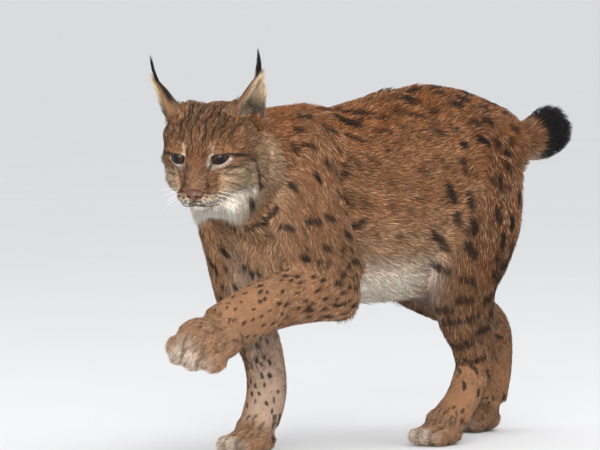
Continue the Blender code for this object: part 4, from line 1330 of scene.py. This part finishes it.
def tuft_mesh(name, rings, sides, normals, widths, colours, bake):
    """One mesh of closed three-sided tufts, each a patch of the unwrap at its own place in bake.

    rings and colours are tufts x levels x 3, from the root to the last level, which is the tip.
    """
    count, levels = rings.shape[:2]
    taper = np.linspace(1.0, 0.0, levels) ** 0.7
    taper[0] = ROOT_WIDTH
    taper[1:-1] = np.maximum(taper[1:-1], BEND_WIDTH)
    per_tuft = 3 * (levels - 1) + 1
    points = np.empty((count, per_tuft, 3))
    tints = np.empty((count, per_tuft, 3))
    spread = np.empty((per_tuft, 2))
    for level in range(levels - 1):
        for k, (a, b) in enumerate(TUFT_SECTION):
            at = 3 * level + k
            offset = sides * a + normals * b
            points[:, at] = rings[:, level] + offset * (widths * taper[level])[:, None]
            tints[:, at] = colours[:, level]
            spread[at] = (level / (levels - 1) - 0.5, (k - 1) * 0.5)
    points[:, -1] = rings[:, -1]
    tints[:, -1] = colours[:, -1]
    spread[-1] = (0.5, 0.0)
    starts = np.arange(count)[:, None, None] * per_tuft
    faces = (starts + tuft_triangles(levels)).reshape(-1, 3)
    mesh = triangle_mesh(name, points.reshape(-1, 3), faces)
    paint_vertices(mesh, tints.reshape(-1, 3))
    patch = bake[:, None, :] + spread * BAKE_PATCH
    uv = patch.reshape(-1, 2)[faces.ravel()].astype(np.float32)
    mesh.uv_layers.new(name="OFBake").data.foreach_set("uv", uv.ravel())
    return add_object(name, mesh)


def clump_middles(points, spacing, random):
    """For each tuft, the number of the tuft in the middle of its clump."""
    count = max(2, len(points) // spacing)
    chosen = random.choice(len(points), count, replace=False)
    tree = KDTree(count)
    for i, index in enumerate(chosen):
        tree.insert(points[index], i)
    tree.balance()
    return chosen[np.array([tree.find(p)[1] for p in points])]


# How far apart the tips of a clump stay, beside their roots
CLUMP_SPREAD = 0.35


def drawn_together(points, tips, centre, share):
    """Tips moved towards the tip in the middle of their clump, as hair clings in locks."""
    target = tips[centre] + (points - points[centre]) * CLUMP_SPREAD
    return tips + (target - tips) * share[:, None]


# The record's material slot of each kind of run, and the x where the tail's black tip begins
SLOTS = {"trunk": "coat_back", "neck": "coat_back", "tail": "coat_back", "fore": "coat_legs",
         "hind": "coat_legs", "paw": "coat_paws", "head": "coat_head", "ear": "coat_ears"}
TAIL_TIP_X = 0.39


def region_of(places):
    """The record's material slot of the coat at each point."""
    best = places.nearest()
    slots = np.array([SLOTS[kind] for kind in KINDS], "U20")[best]
    slots[(best == KINDS.index("tail")) & (places.points[:, 0] > TAIL_TIP_X)] = "coat_tail_tip"
    return slots


# Added length of the hair of belly, ruff, cheek, rump and ear cup, in metres
BELLY_HAIR = 0.022
RUFF_HAIR = 0.022
CHEEK_HAIR = 0.014
RUMP_HAIR = 0.014
CUP_HAIR = 0.008
# How much shorter the hair is on the face, the muzzle and the ankles, and next to the eyes
FACE_TRIM = 0.40
MUZZLE_TRIM = 0.35
ANKLE_TRIM = 0.45
EYE_TRIM = 0.65
# How much the hair's lift grows in the ear cups and on the cheeks, in radians, and how much flatter and
# thinner it is on the ankles and the face
CUP_LIFT = 0.35
CHEEK_LIFT = 0.28
ANKLE_FLAT = 0.55
FACE_FLAT = 0.35
FACE_THIN = 0.30
# How much shorter the beard is in its middle, and how much longer again beside the chin
BEARD_TRIM = 0.40
BEARD_LOBE = 1.05


def hair_size(places, cup, random):
    """Length, width and first lift of each tuft."""
    face, cheek, ankle = places.face(), places.cheek(), places.ankle()
    f, l, _ = places.head.T
    muzzle = ramp(f, 0.5, 3.0) * places.share["head"]
    eye_gap, _ = off_the_eyes(places.points)
    length = places.blend(TUFT_LENGTH) * (1 - FACE_TRIM * face) * (1 - MUZZLE_TRIM * muzzle)
    length *= 1 - EYE_TRIM + EYE_TRIM * ramp(eye_gap, 0.002, 0.014)
    length *= 1 - ANKLE_TRIM * ankle
    beside_chin = ramp(np.abs(l), 1.2, 3.8) * ramp(f, -5.5, -3.5)
    lobe = 1 - places.beard().clip(0, 1) * (BEARD_TRIM - BEARD_LOBE * beside_chin)
    rump = places.share["hind"] * ramp(places.along["hind"], 0.45, 0.10)
    rump = rump * ramp(np.abs(places.angle["hind"]), 1.2, 0.5)
    length += BELLY_HAIR * places.belly() + RUFF_HAIR * places.ruff() * lobe
    length += CHEEK_HAIR * cheek + CUP_HAIR * cup + RUMP_HAIR * rump
    lift = np.radians(places.blend(TUFT_LIFT)) + CUP_LIFT * cup + CHEEK_LIFT * cheek
    lift *= (1 - ANKLE_FLAT * ankle) * (1 - FACE_FLAT * face)
    width = places.blend(TUFT_WIDTH) * (1 - FACE_THIN * face)
    length = length * random.uniform(0.72, 1.22, len(f))
    return length, width * random.uniform(0.75, 1.25, len(f)), lift


# The way the hair's weight pulls it
SAG = np.array([0.0, 0.0, -1.0])
# How far the hair hangs from the lie of the coat everywhere, and how much more on belly and ruff
HANG = 0.10
BELLY_HANG = 0.35
RUFF_HANG = 0.45
# Beside its lie, how far the tip half of a tuft rises off the skin, and its share of the hang
TIP_RISE = 0.10
TIP_HANG = 0.25
# How far single hairs stray from the lie of the coat, and how far it sways as a whole
STRAY = 0.13
SWAY = 0.16


def hair_lie(places, normals, lift, random):
    """Directions of the root half and the tip half of each tuft, and the way across it."""
    hang = HANG + BELLY_HANG * places.belly() + RUFF_HANG * places.ruff()
    flow = places.flow + SAG * hang[:, None] + random.normal(scale=STRAY, size=normals.shape)
    flow = flow + SWAY * drift(places.points, 0.03, 20)
    flow = unit(flow - normals * (flow * normals).sum(1)[:, None])
    side = unit(np.cross(normals, flow))
    first = flow * np.cos(lift)[:, None] + normals * np.sin(lift)[:, None]
    second = unit(flow + normals * TIP_RISE + SAG * (TIP_HANG * hang)[:, None])
    drop = np.clip(places.beard(), 0, 1)[:, None]
    first = unit(first * (1 - drop) + (flow * 0.5 + normals * 0.4 + SAG * 0.6) * drop)
    second = unit(second * (1 - drop) + (flow * 0.35 + SAG) * drop)
    return first, second, side


# How grizzled the coat is everywhere, and how much more on the head, the legs and in the ear cups
GRIZZLE = 0.40
HEAD_GRIZZLE = 0.75
LEG_GRIZZLE = 0.45
CUP_GRIZZLE = 0.40
# Share of the tufts that are dark and that are pale where the coat is grizzled, and by how much
DARK_SHARE = 0.26
PALE_SHARE = 0.20
DARK_BY = 0.58
PALE_BY = 0.50


def hair_tones(places, cup, centre, random):
    """Brightness of each tuft, how far it is a pale hair, and how white the coat is there."""
    count = len(cup)
    shade = random.uniform(0.80, 1.18, count) * random.uniform(0.78, 1.20, count)[centre]
    tick = random.uniform(size=count)
    white = np.clip(places.beard() + places.belly(), 0, 1)
    legs = places.share["fore"] + places.share["hind"] + places.share["paw"]
    crown = places.share["head"] * ramp(places.head[:, 0], 3.5, 1.0)
    grizzle = GRIZZLE + HEAD_GRIZZLE * crown + LEG_GRIZZLE * legs + CUP_GRIZZLE * cup
    grizzle *= (1 - 0.85 * white) * (1 - 0.45 * places.cheek())
    # White hair of beard and belly is made a tenth brighter: painted light from below
    shade = shade * (1 - DARK_BY * grizzle * (tick < DARK_SHARE)) * (1 + 0.10 * white)
    return shade, PALE_BY * grizzle * (tick > 1 - PALE_SHARE), white


# Of long and of short hair: tufts in a clump, how far their tips are drawn together, and the
# brightness of root and tip
# The darker root is painted shade in the depth of the coat, the brighter tip painted light
HAIR = {
    "long": (9, (0.20, 0.50), 0.72, 1.12),
    "short": (20, (0.10, 0.40), 0.80, 1.08),
}
# How far a tuft starts under the skin
ROOT_DEPTH = 0.0008
# Parts of a tuft's length before and after its bend
ROOT_HALF = 0.45
TIP_HALF = 0.55
# Lowest place of a tuft over the floor
FLOOR_GAP = 0.0005
# Brightness of the root in white hair, which has less painted shade at its root, and how far a tuft takes
# its colour from its root's place
WHITE_ROOT = 0.98
ROOT_COLOUR = 0.25
# Marks darker than this keep their pale hairs out
DARKEST_TICKED = 0.06


def grow(name, roots, normals, cup, random):
    """Long or short tufts on the given roots, in pieces under the limit of triangles."""
    places = Places(roots)
    length, width, lift = hair_size(places, cup, random)
    first, second, side = hair_lie(places, normals, lift, random)
    clump, cling, painted_root_shade, painted_tip_light = HAIR[name]
    centre = clump_middles(roots, clump, random)
    shade, pale, white = hair_tones(places, cup, centre, random)
    start = roots - normals * ROOT_DEPTH
    if name == "long":
        bend = start + first * (ROOT_HALF * length)[:, None]
        levels, tones = [start, bend], [shade]
        tip = bend + second * (TIP_HALF * length)[:, None]
    else:
        levels, tones = [start], []
        tip = start + unit(first * ROOT_HALF + second * TIP_HALF) * length[:, None]
    tip = drawn_together(roots, tip, centre, random.uniform(*cling, len(roots)))
    rings = np.stack([*levels, tip], 1)
    # Roots darker and tips brighter: painted shade and painted light through the depth of the coat
    tones = [(painted_root_shade + (WHITE_ROOT - painted_root_shade) * white) * shade, *tones, painted_tip_light * shade]
    rings[:, :, 2] = np.maximum(rings[:, :, 2], FLOOR_GAP)
    tints = np.empty_like(rings)
    for level, tone in enumerate(tones):
        seen = roots if level == 0 else rings[:, level] * (1 - ROOT_COLOUR) + roots * ROOT_COLOUR
        tint, _ = coat_colour(seen, cup)
        tint = mixed(tint, CREAM, pale * (tint.mean(1) > DARKEST_TICKED))
        tints[:, level] = tint * tone[:, None]
    tints = np.clip(tints, 0.003, 1.0)
    bake = bake_place(places)
    limit = PIECE_TRIANGLES // len(tuft_triangles(len(tones)))
    pieces = []
    regions = region_of(places)
    for slot in sorted(set(regions)):
        mine = np.nonzero(regions == slot)[0]
        parts = np.array_split(mine, max(1, math.ceil(len(mine) / limit)))
        for number, part in enumerate(parts):
            piece = tuft_mesh(f"{slot}_{name}_{number + 1}", rings[part], side[part], normals[part],
                              width[part], tints[part], bake[part])
            pieces.append((piece, slot))
    return pieces


def long_share(places):
    """How much of the coat is long hair: on trunk, neck, tail, nape, ruff and rump."""
    share = places.share
    nape = 0.9 * share["head"] * ramp(places.head[:, 0], -3.5, -5.0)
    body = np.clip(share["trunk"] + share["neck"] + share["tail"] + nape + places.ruff(), 0, 1)
    return np.clip(body + share["hind"] * ramp(places.along["hind"], 0.40, 0.15), 0, 1)


def grow_coat(skin):
    """All the fur on the skin, as pieces with their slots: the long hair and then the short hair."""
    random = np.random.default_rng(SEED + 1)
    sampler = Sampler(skin)
    places = Places(sampler.middles)
    thin = 1.0
    long_here = long_share(places)
    density = places.blend(DENSITY)
    density *= 1 + 0.9 * places.face()
    density *= 1 - bare_skin(sampler.middles, places)
    long_density = density * long_here * (1 + 0.6 * places.ruff() + 0.4 * places.belly())
    cups = cup_share(sampler.middles, sampler.facing, places)
    coats = []
    for name, weights, total in (("long", long_density, LONG_TUFTS),
                                 ("short", density * (1 - long_here), SHORT_TUFTS)):
        points, normals, faces = sampler.roots(weights, int(total * thin), random)
        coats += grow(name, points, normals, cups[faces], random)
    return coats


def bare_skin(points, places):
    """1 where no tuft roots: soles on the floor, nose, lids and the sockets of the eyes."""
    bare = ramp(points[:, 2], 0.0015, 0.0004)
    f, l, u = places.head.T
    nose = np.sqrt(((f - 4.7) / 1.4) ** 2 + (l / 1.15) ** 2 + ((u + 4.8) / 0.85) ** 2)
    bare = np.maximum(bare, ramp(nose, 1.1, 0.9))
    wide, above, below = EYE_OPEN
    for way in (-1, 1):
        ahead, out, up = eye_steps(points, way)
        reach = np.linalg.norm(points - np.array(eye_place(way)), axis=1)
        high = np.where(up > 0, above, below)
        oval = np.sqrt((out / (wide * 1.06)) ** 2 + (up / (high * 1.25)) ** 2)
        near = (reach < LID_R * 1.25) & (ahead > 0)
        bare[(near & (oval < 1.0)) | (reach < EYE_R + 0.0004)] = 1.0
    return bare


# Angles from the middle of the pupil to its edge, the iris's edge and the end of the dark ring
PUPIL = math.radians(23)
IRIS_END = math.radians(50)
RING_END = math.radians(55)
# How far the cornea stands over the round of the eyeball
CORNEA_RISE = 0.0008
# How far the eyes look outward and up from the middle of their lids
GAZE = (0.02, -0.03)
EYE_SIDES = 72
# Seed of the streaks in the iris
IRIS_SEED = 31


def eye_tint(angle, streak):
    """Colour of the eyeball at an angle from the middle of its pupil."""
    if angle <= PUPIL:
        return BLACK
    if angle <= IRIS_END:
        depth = (angle - PUPIL) / (IRIS_END - PUPIL)
        return np.array(IRIS) * (streak * (0.45 + 0.75 * depth) * (0.5 if depth > 0.84 else 1.0))
    return EYE_RING if angle <= RING_END else EYE_WHITE


def eyeball(name, way):
    """An eyeball with a bulging cornea, its iris and pupil in its vertex colours."""
    look, out, up = eye_axes(way)
    look = np.array((look + out * GAZE[0] + up * GAZE[1]).normalized())
    out = unit(np.array(out) - look * (np.array(out) @ look))
    up = np.cross(look, out)
    centre = np.array(eye_place(way))
    angles = np.r_[np.linspace(0.03, PUPIL, 6), np.linspace(PUPIL + 0.02, IRIS_END, 16),
                   np.linspace(IRIS_END + 0.03, RING_END, 4),
                   np.linspace(RING_END + 0.06, math.pi - 0.05, 20)]
    streaks = np.random.default_rng(IRIS_SEED).uniform(0.72, 1.25, EYE_SIDES)
    streaks = (streaks + np.roll(streaks, 1)) / 2
    points, colours = [], []
    for angle in angles:
        reach = EYE_R + CORNEA_RISE * max(0.0, 1 - (angle / RING_END) ** 2)
        for k, streak in enumerate(streaks):
            turn = 2 * math.pi * k / EYE_SIDES
            ring = out * math.cos(turn) + up * math.sin(turn)
            points.append(centre + (look * math.cos(angle) + ring * math.sin(angle)) * reach)
            colours.append(eye_tint(angle, streak))
    points += [centre + look * (EYE_R + CORNEA_RISE), centre - look * EYE_R]
    colours += [BLACK, EYE_WHITE]
    obj = face_out(mesh_object(name, points, ring_faces(len(angles), EYE_SIDES)))
    paint_vertices(obj.data, np.array(colours))
    return shade_smooth(obj)


def lid_rim(name, way):
    """The dark hairless edge of both lids, drawn out a little at the inner corner."""
    look, out, up = eye_axes(way)
    centre = eye_place(way)
    points = []
    for a, b in opening_outline(40):
        depth = math.sqrt(max(LID_R**2 - a * a - b * b, 0))
        points.append(centre + out * a + up * b + look * depth)
    points.append(points[0])
    corner = points[20]
    rim = tube(name, points, RIM_R, look, steps=2)
    tear = tube("tear", [corner, corner - out * 0.0030 - up * 0.0012 + look * 0.0004,
                         corner - out * 0.0058 - up * 0.0034 + look * 0.0006], TEAR_R, look)
    return shade_smooth(join(name, [rim, tear]))


# Places in head centimetres, on the left, and radii in metres of a nostril and of the slit beside it
NOSTRIL_CUTS = (
    ((5.30, 0.62, -4.92), (0.0066, 0.0033, 0.0027)),
    ((5.0, 1.05, -5.00), (0.0050, 0.0034, 0.0013)),
)


def nose_leather():
    """The bare nose with its wings and nostrils."""
    pieces = [head_ball("nose_top", (4.70, 0, -4.60), (1.05, 1.08, 0.82)),
              head_ball("nose_foot", (4.85, 0, -5.05), (0.85, 0.55, 0.75))]
    for way in (-1, 1):
        pieces.append(head_ball("nose_wing", (4.42, 0.80 * way, -4.84), (0.94, 0.80, 0.68)))
    nose = fused("nose_leather", pieces, 0.0008, 18)
    for way in (-1, 1):
        for (f, l, u), radii in NOSTRIL_CUTS:
            boolean(nose, ball("nostril", on_head(f, l * way, u), radii, HEAD_TURN), "DIFFERENCE")
    return shade_smooth(nose)


def lips():
    """The dark edge of the lips, the cleft under the nose, and dark balls in the nostrils as painted shade
    in their depth.
    """
    line = tube("mouth_line", [on_head(f - 0.08, l, u) for f, l, u in MOUTH], MOUTH_R, FORWARD, steps=8)
    cleft = tube("cleft", [on_head(f - 0.12, l, u) for f, l, u in CLEFT], CLEFT_R, LEFTWARD, steps=6)
    # Dark balls at the back of the nostrils: painted shade in the holes
    inside = [head_ball("inside", (4.82, 0.62 * way, -4.92), (0.34, 0.32, 0.26)) for way in (-1, 1)]
    return shade_smooth(join("mouth_line", [line, cleft, *inside]))


WHISKER_LENGTH = 0.046
WHISKER_WIDTH = 0.0005
WHISKER_ROWS = (-4.7, -5.2, -5.8)


def whiskers():
    """White whiskers from the rows of dark spots on the pads."""
    random = np.random.default_rng(SEED + 7)
    bend = (-FORWARD * 0.65 - UPWARD * 0.40).normalized()
    lines = []
    for way in (-1, 1):
        for row, height in enumerate(WHISKER_ROWS):
            for k in range(3):
                aside = 2.2 + 0.75 * k + 0.2 * (row % 2)
                start = on_head(4.6 - 0.16 * aside**2, aside * way * 0.97, height)
                reach = WHISKER_LENGTH * random.uniform(0.8, 1.25)
                out = LEFTWARD * way * 0.8 + FORWARD * random.uniform(-0.1, 0.15)
                rise = -0.15 - 0.15 * row + random.uniform(-0.12, 0.12)
                out = (out + UPWARD * rise).normalized()
                lines.append([tuple(start + out * (reach * t) + bend * (reach * 0.45 * t * t))
                              for t in (0, 0.25, 0.5, 0.75, 1)])
    rings = np.array(lines)
    run = unit(rings[:, 1] - rings[:, 0])
    side = unit(np.cross(np.array(UPWARD), run))
    tints = np.broadcast_to(np.array(WHITE), rings.shape)
    widths = np.full(len(rings), WHISKER_WIDTH)
    return tuft_mesh("whiskers", rings, side, np.cross(run, side), widths, tints,
                     bake_place(Places(rings[:, 0])))


BRUSH_HAIRS = 150
BRUSH_WIDTH = 0.0010
CUP_HAIRS = 620
CUP_WIDTH = 0.0008


def brush_hair(way, random):
    """Root, tip, colour, width and outward direction of one hair of the black tuft on an ear's tip."""
    _, tip, tuft_tip, axis, opening, side = ear_frame(way)
    back = random.uniform(0, 1) ** 1.4
    spread = 0.0062 * (0.35 + back)
    root = tip - axis * (0.020 * back) + side * random.uniform(-spread, spread)
    root = root - opening * random.uniform(0.0, 0.004) * (0.4 + back)
    end = tip.lerp(tuft_tip, random.uniform(0.45, 1.04))
    end = end + side * random.normal() * 0.0014 + opening * random.normal() * 0.0012
    return root, end, BLACK, BRUSH_WIDTH, opening


def cup_hair(way, random):
    """The same of one pale hair that stands in the cup of an ear, darker at its foot."""
    base, tip, _, axis, opening, side = ear_frame(way)
    height = random.uniform(0.16, 0.86)
    edge = random.choice((-1, 1)) * random.uniform(0.0, 1.0) ** 0.6
    wide, deep = ear_radii(height)
    turn = edge * math.radians(104)
    root = base + axis * ((tip - base).length * height) + side * (math.sin(turn) * (wide - 0.003))
    root = root - opening * (math.cos(turn) * (deep - 0.003))
    lean = -side * math.copysign(0.55, edge) * random.uniform(0.2, 1.0)
    rise = (axis * 0.85 + lean + opening * random.uniform(0.15, 0.5)).normalized()
    end = root + rise * random.uniform(0.010, 0.024)
    pale = min(1.0, max(0.0, (height - 0.30) / 0.25))
    colour = (np.array(CUP_BASE) * (1 - pale) + np.array(CREAM) * pale) * random.uniform(0.6, 1.1)
    return root, end, colour, CUP_WIDTH, opening


def ear_tufts():
    """The long black tuft on each ear's tip, and the pale hair that stands in the cup."""
    random = np.random.default_rng(SEED + 3)
    hairs = []
    for way in (-1, 1):
        hairs += [brush_hair(way, random) for _ in range(BRUSH_HAIRS)]
        hairs += [cup_hair(way, random) for _ in range(CUP_HAIRS)]
    roots, tips, tint, widths, normals = (np.array([np.array(v) for v in column]) for column in zip(*hairs))
    normals = unit(normals)
    side = unit(np.cross(normals, unit(tips - roots)))
    bends = (roots + tips) / 2 + normals * 0.0012
    rings = np.stack([roots, bends, tips], 1)
    # Roots darker and tips brighter: painted shade and painted light along each hair
    tints = np.clip(np.stack([tint * 0.85, tint, tint * 1.1], 1), 0.003, 1)
    return tuft_mesh("coat_ears", rings, side, normals, widths, tints, bake_place(Places(roots)))


def varied(nodes, links, source, texture, low, high):
    """The source colour times a factor between low and high that follows the texture."""
    factor = nodes.new("ShaderNodeMapRange")
    for field, value in (("From Min", 0.3), ("From Max", 0.7), ("To Min", low), ("To Max", high)):
        factor.inputs[field].default_value = value
    links.new(texture.outputs["Fac"], factor.inputs["Value"])
    mix = nodes.new("ShaderNodeMix")
    mix.data_type = "RGBA"
    mix.blend_type = "MULTIPLY"
    mix.inputs["Factor"].default_value = 1.0
    links.new(source, mix.inputs["A"])
    links.new(factor.outputs["Result"], mix.inputs["B"])
    return mix.outputs["Result"]


def material(name, roughness, scale, tones, bump=0.0, colour=None):
    """A material and its shader: the colour, or else that of the vertices, varied and raised by a noise."""
    made = bpy.data.materials.new(name)
    made.use_nodes = True
    nodes, links = made.node_tree.nodes, made.node_tree.links
    shader = nodes["Principled BSDF"]
    if colour:
        source = nodes.new("ShaderNodeRGB")
        source.outputs["Color"].default_value = (*colour, 1)
    else:
        source = nodes.new("ShaderNodeAttribute")
        source.attribute_name = "Coat"
    where = nodes.new("ShaderNodeTexCoord")
    texture = nodes.new("ShaderNodeTexNoise")
    texture.inputs["Scale"].default_value = scale
    texture.inputs["Detail"].default_value = 4.0
    links.new(where.outputs["Object"], texture.inputs["Vector"])
    links.new(varied(nodes, links, source.outputs["Color"], texture, *tones), shader.inputs["Base Color"])
    shader.inputs["Roughness"].default_value = roughness
    if bump:
        raised = nodes.new("ShaderNodeBump")
        raised.inputs["Strength"].default_value = 0.6
        raised.inputs["Distance"].default_value = bump
        links.new(texture.outputs["Fac"], raised.inputs["Height"])
        links.new(raised.outputs["Normal"], shader.inputs["Normal"])
    return made, shader


def hair_material(name, roughness, bump):
    """The look of tufts and skin, with little gloss."""
    made, shader = material(name, roughness, 420.0, (0.82, 1.18), bump)
    shader.inputs["Specular IOR Level"].default_value = 0.25
    return made


def eye_material():
    """The wet look of the eyeballs."""
    made, shader = material("Eye", 0.05, 900.0, (0.85, 1.15))
    shader.inputs["IOR"].default_value = 1.38
    shader.inputs["Specular IOR Level"].default_value = 0.22
    return made


def dress(obj, made):
    obj.data.materials.clear()
    obj.data.materials.append(made)
    return obj


def build_animal():
    coat = hair_material("Coat", 0.62, 0.0)
    hide = hair_material("Hide", 0.75, 0.0006)
    leather, _ = material("Nose leather", 0.42, 700.0, (0.62, 1.15), 0.0004, NOSE_SKIN)
    rim, _ = material("Lid rim", 0.6, 500.0, (0.8, 1.2), 0.0002, LID_EDGE)
    lip, _ = material("Lip", 0.65, 500.0, (0.8, 1.2), 0.0002, LIP)
    wet = eye_material()
    skin = body_skin()
    points, normals = vertex_array(skin.data), normals_of(skin.data)
    colours, places = coat_colour(points, cup_share(points, normals, Places(points)))
    # The skin is darker than the coat, as light is lost between the hairs, and least where they are white
    under = 0.72 + 0.22 * np.clip(places.beard() + places.belly(), 0, 1)
    paint_vertices(skin.data, colours * under[:, None])
    coats = grow_coat(skin)
    settle(dress(shade_smooth(skin), hide), "coat_back", *FLESH_NODES)
    for piece, slot in coats:
        settle(dress(piece, coat), slot)
    settle(dress(ear_tufts(), coat), "coat_ears")
    for side, way in (("left", 1), ("right", -1)):
        settle(dress(eyeball(f"eyeball_{side}", way), wet), "eye", f"eye_{side}")
        settle(dress(lid_rim(f"lid_rim_{side}", way), rim), "coat_head")
    settle(dress(nose_leather(), leather), "nose_leather", "nose")
    settle(dress(lips(), lip), "coat_head")
    settle(dress(whiskers(), coat), "coat_head")


def add_floor():
    """A plain pale floor, out to the horizon."""
    bpy.ops.mesh.primitive_plane_add(size=400, location=(0, 0, -0.0005))
    floor = bpy.context.object
    floor.name = "floor"
    made, _ = material("Floor", 0.85, 3.0, (0.98, 1.0), 0.0005, FLOOR)
    dress(floor, made)


# Place, size and power in watts of each light, and the point they all face
LIGHTS = {
    "Key": ((-4.2, -3.6, 1.7), (3.0, 3.0), 230),
    "Front": ((-4.6, -2.4, 0.4), (3.0, 1.4), 150),
    "Top": ((1.0, -1.5, 4.5), (3.0, 3.0), 60),
}
LIT_POINT = Vector((0, 0, 0.35))


def add_light(name, place, size, power):
    light = bpy.data.lights.new(name, "AREA")
    light.shape = "RECTANGLE"
    light.size, light.size_y = size
    light.energy = power
    obj = bpy.data.objects.new(name, light)
    obj.location = place
    obj.rotation_euler = (LIT_POINT - Vector(place)).to_track_quat("-Z", "Y").to_euler()
    bpy.context.scene.collection.objects.link(obj)


def add_world():
    """A pale sky, brighter overhead than at the horizon."""
    world = bpy.data.worlds.new("Studio")
    world.use_nodes = True
    nodes, links = world.node_tree.nodes, world.node_tree.links
    where = nodes.new("ShaderNodeTexCoord")
    parts = nodes.new("ShaderNodeSeparateXYZ")
    height = nodes.new("ShaderNodeMapRange")
    height.inputs["To Min"].default_value = SKY_LOW
    height.inputs["To Max"].default_value = SKY_HIGH
    links.new(where.outputs["Generated"], parts.inputs["Vector"])
    links.new(parts.outputs["Z"], height.inputs["Value"])
    nodes["Background"].inputs["Color"].default_value = (0.975, 0.985, 1.0, 1)
    links.new(height.outputs["Result"], nodes["Background"].inputs["Strength"])
    bpy.context.scene.world = world


def add_camera():
    """The camera at the photograph's viewpoint."""
    data = bpy.data.cameras.new("Camera")
    data.lens = VIEW_LENS
    data.sensor_width = 36.0
    data.clip_end = 100.0
    camera = bpy.data.objects.new("Camera", data)
    bpy.context.scene.collection.objects.link(camera)
    back = Vector((math.sin(VIEW_AZIMUTH) * math.cos(VIEW_ELEVATION),
                   -math.cos(VIEW_AZIMUTH) * math.cos(VIEW_ELEVATION), math.sin(VIEW_ELEVATION)))
    camera.location = VIEW_TARGET + back * VIEW_DISTANCE
    camera.rotation_euler = (-back).to_track_quat("-Z", "Y").to_euler()
    bpy.context.scene.camera = camera


for obj in list(bpy.context.scene.objects):
    if obj.type in ("CAMERA", "LIGHT") or obj.name == "Cube":
        bpy.data.objects.remove(obj, do_unlink=True)
build_animal()
add_floor()
for name, light in LIGHTS.items():
    add_light(name, *light)
add_world()
add_camera()
bpy.context.scene.view_settings.view_transform = "Standard"
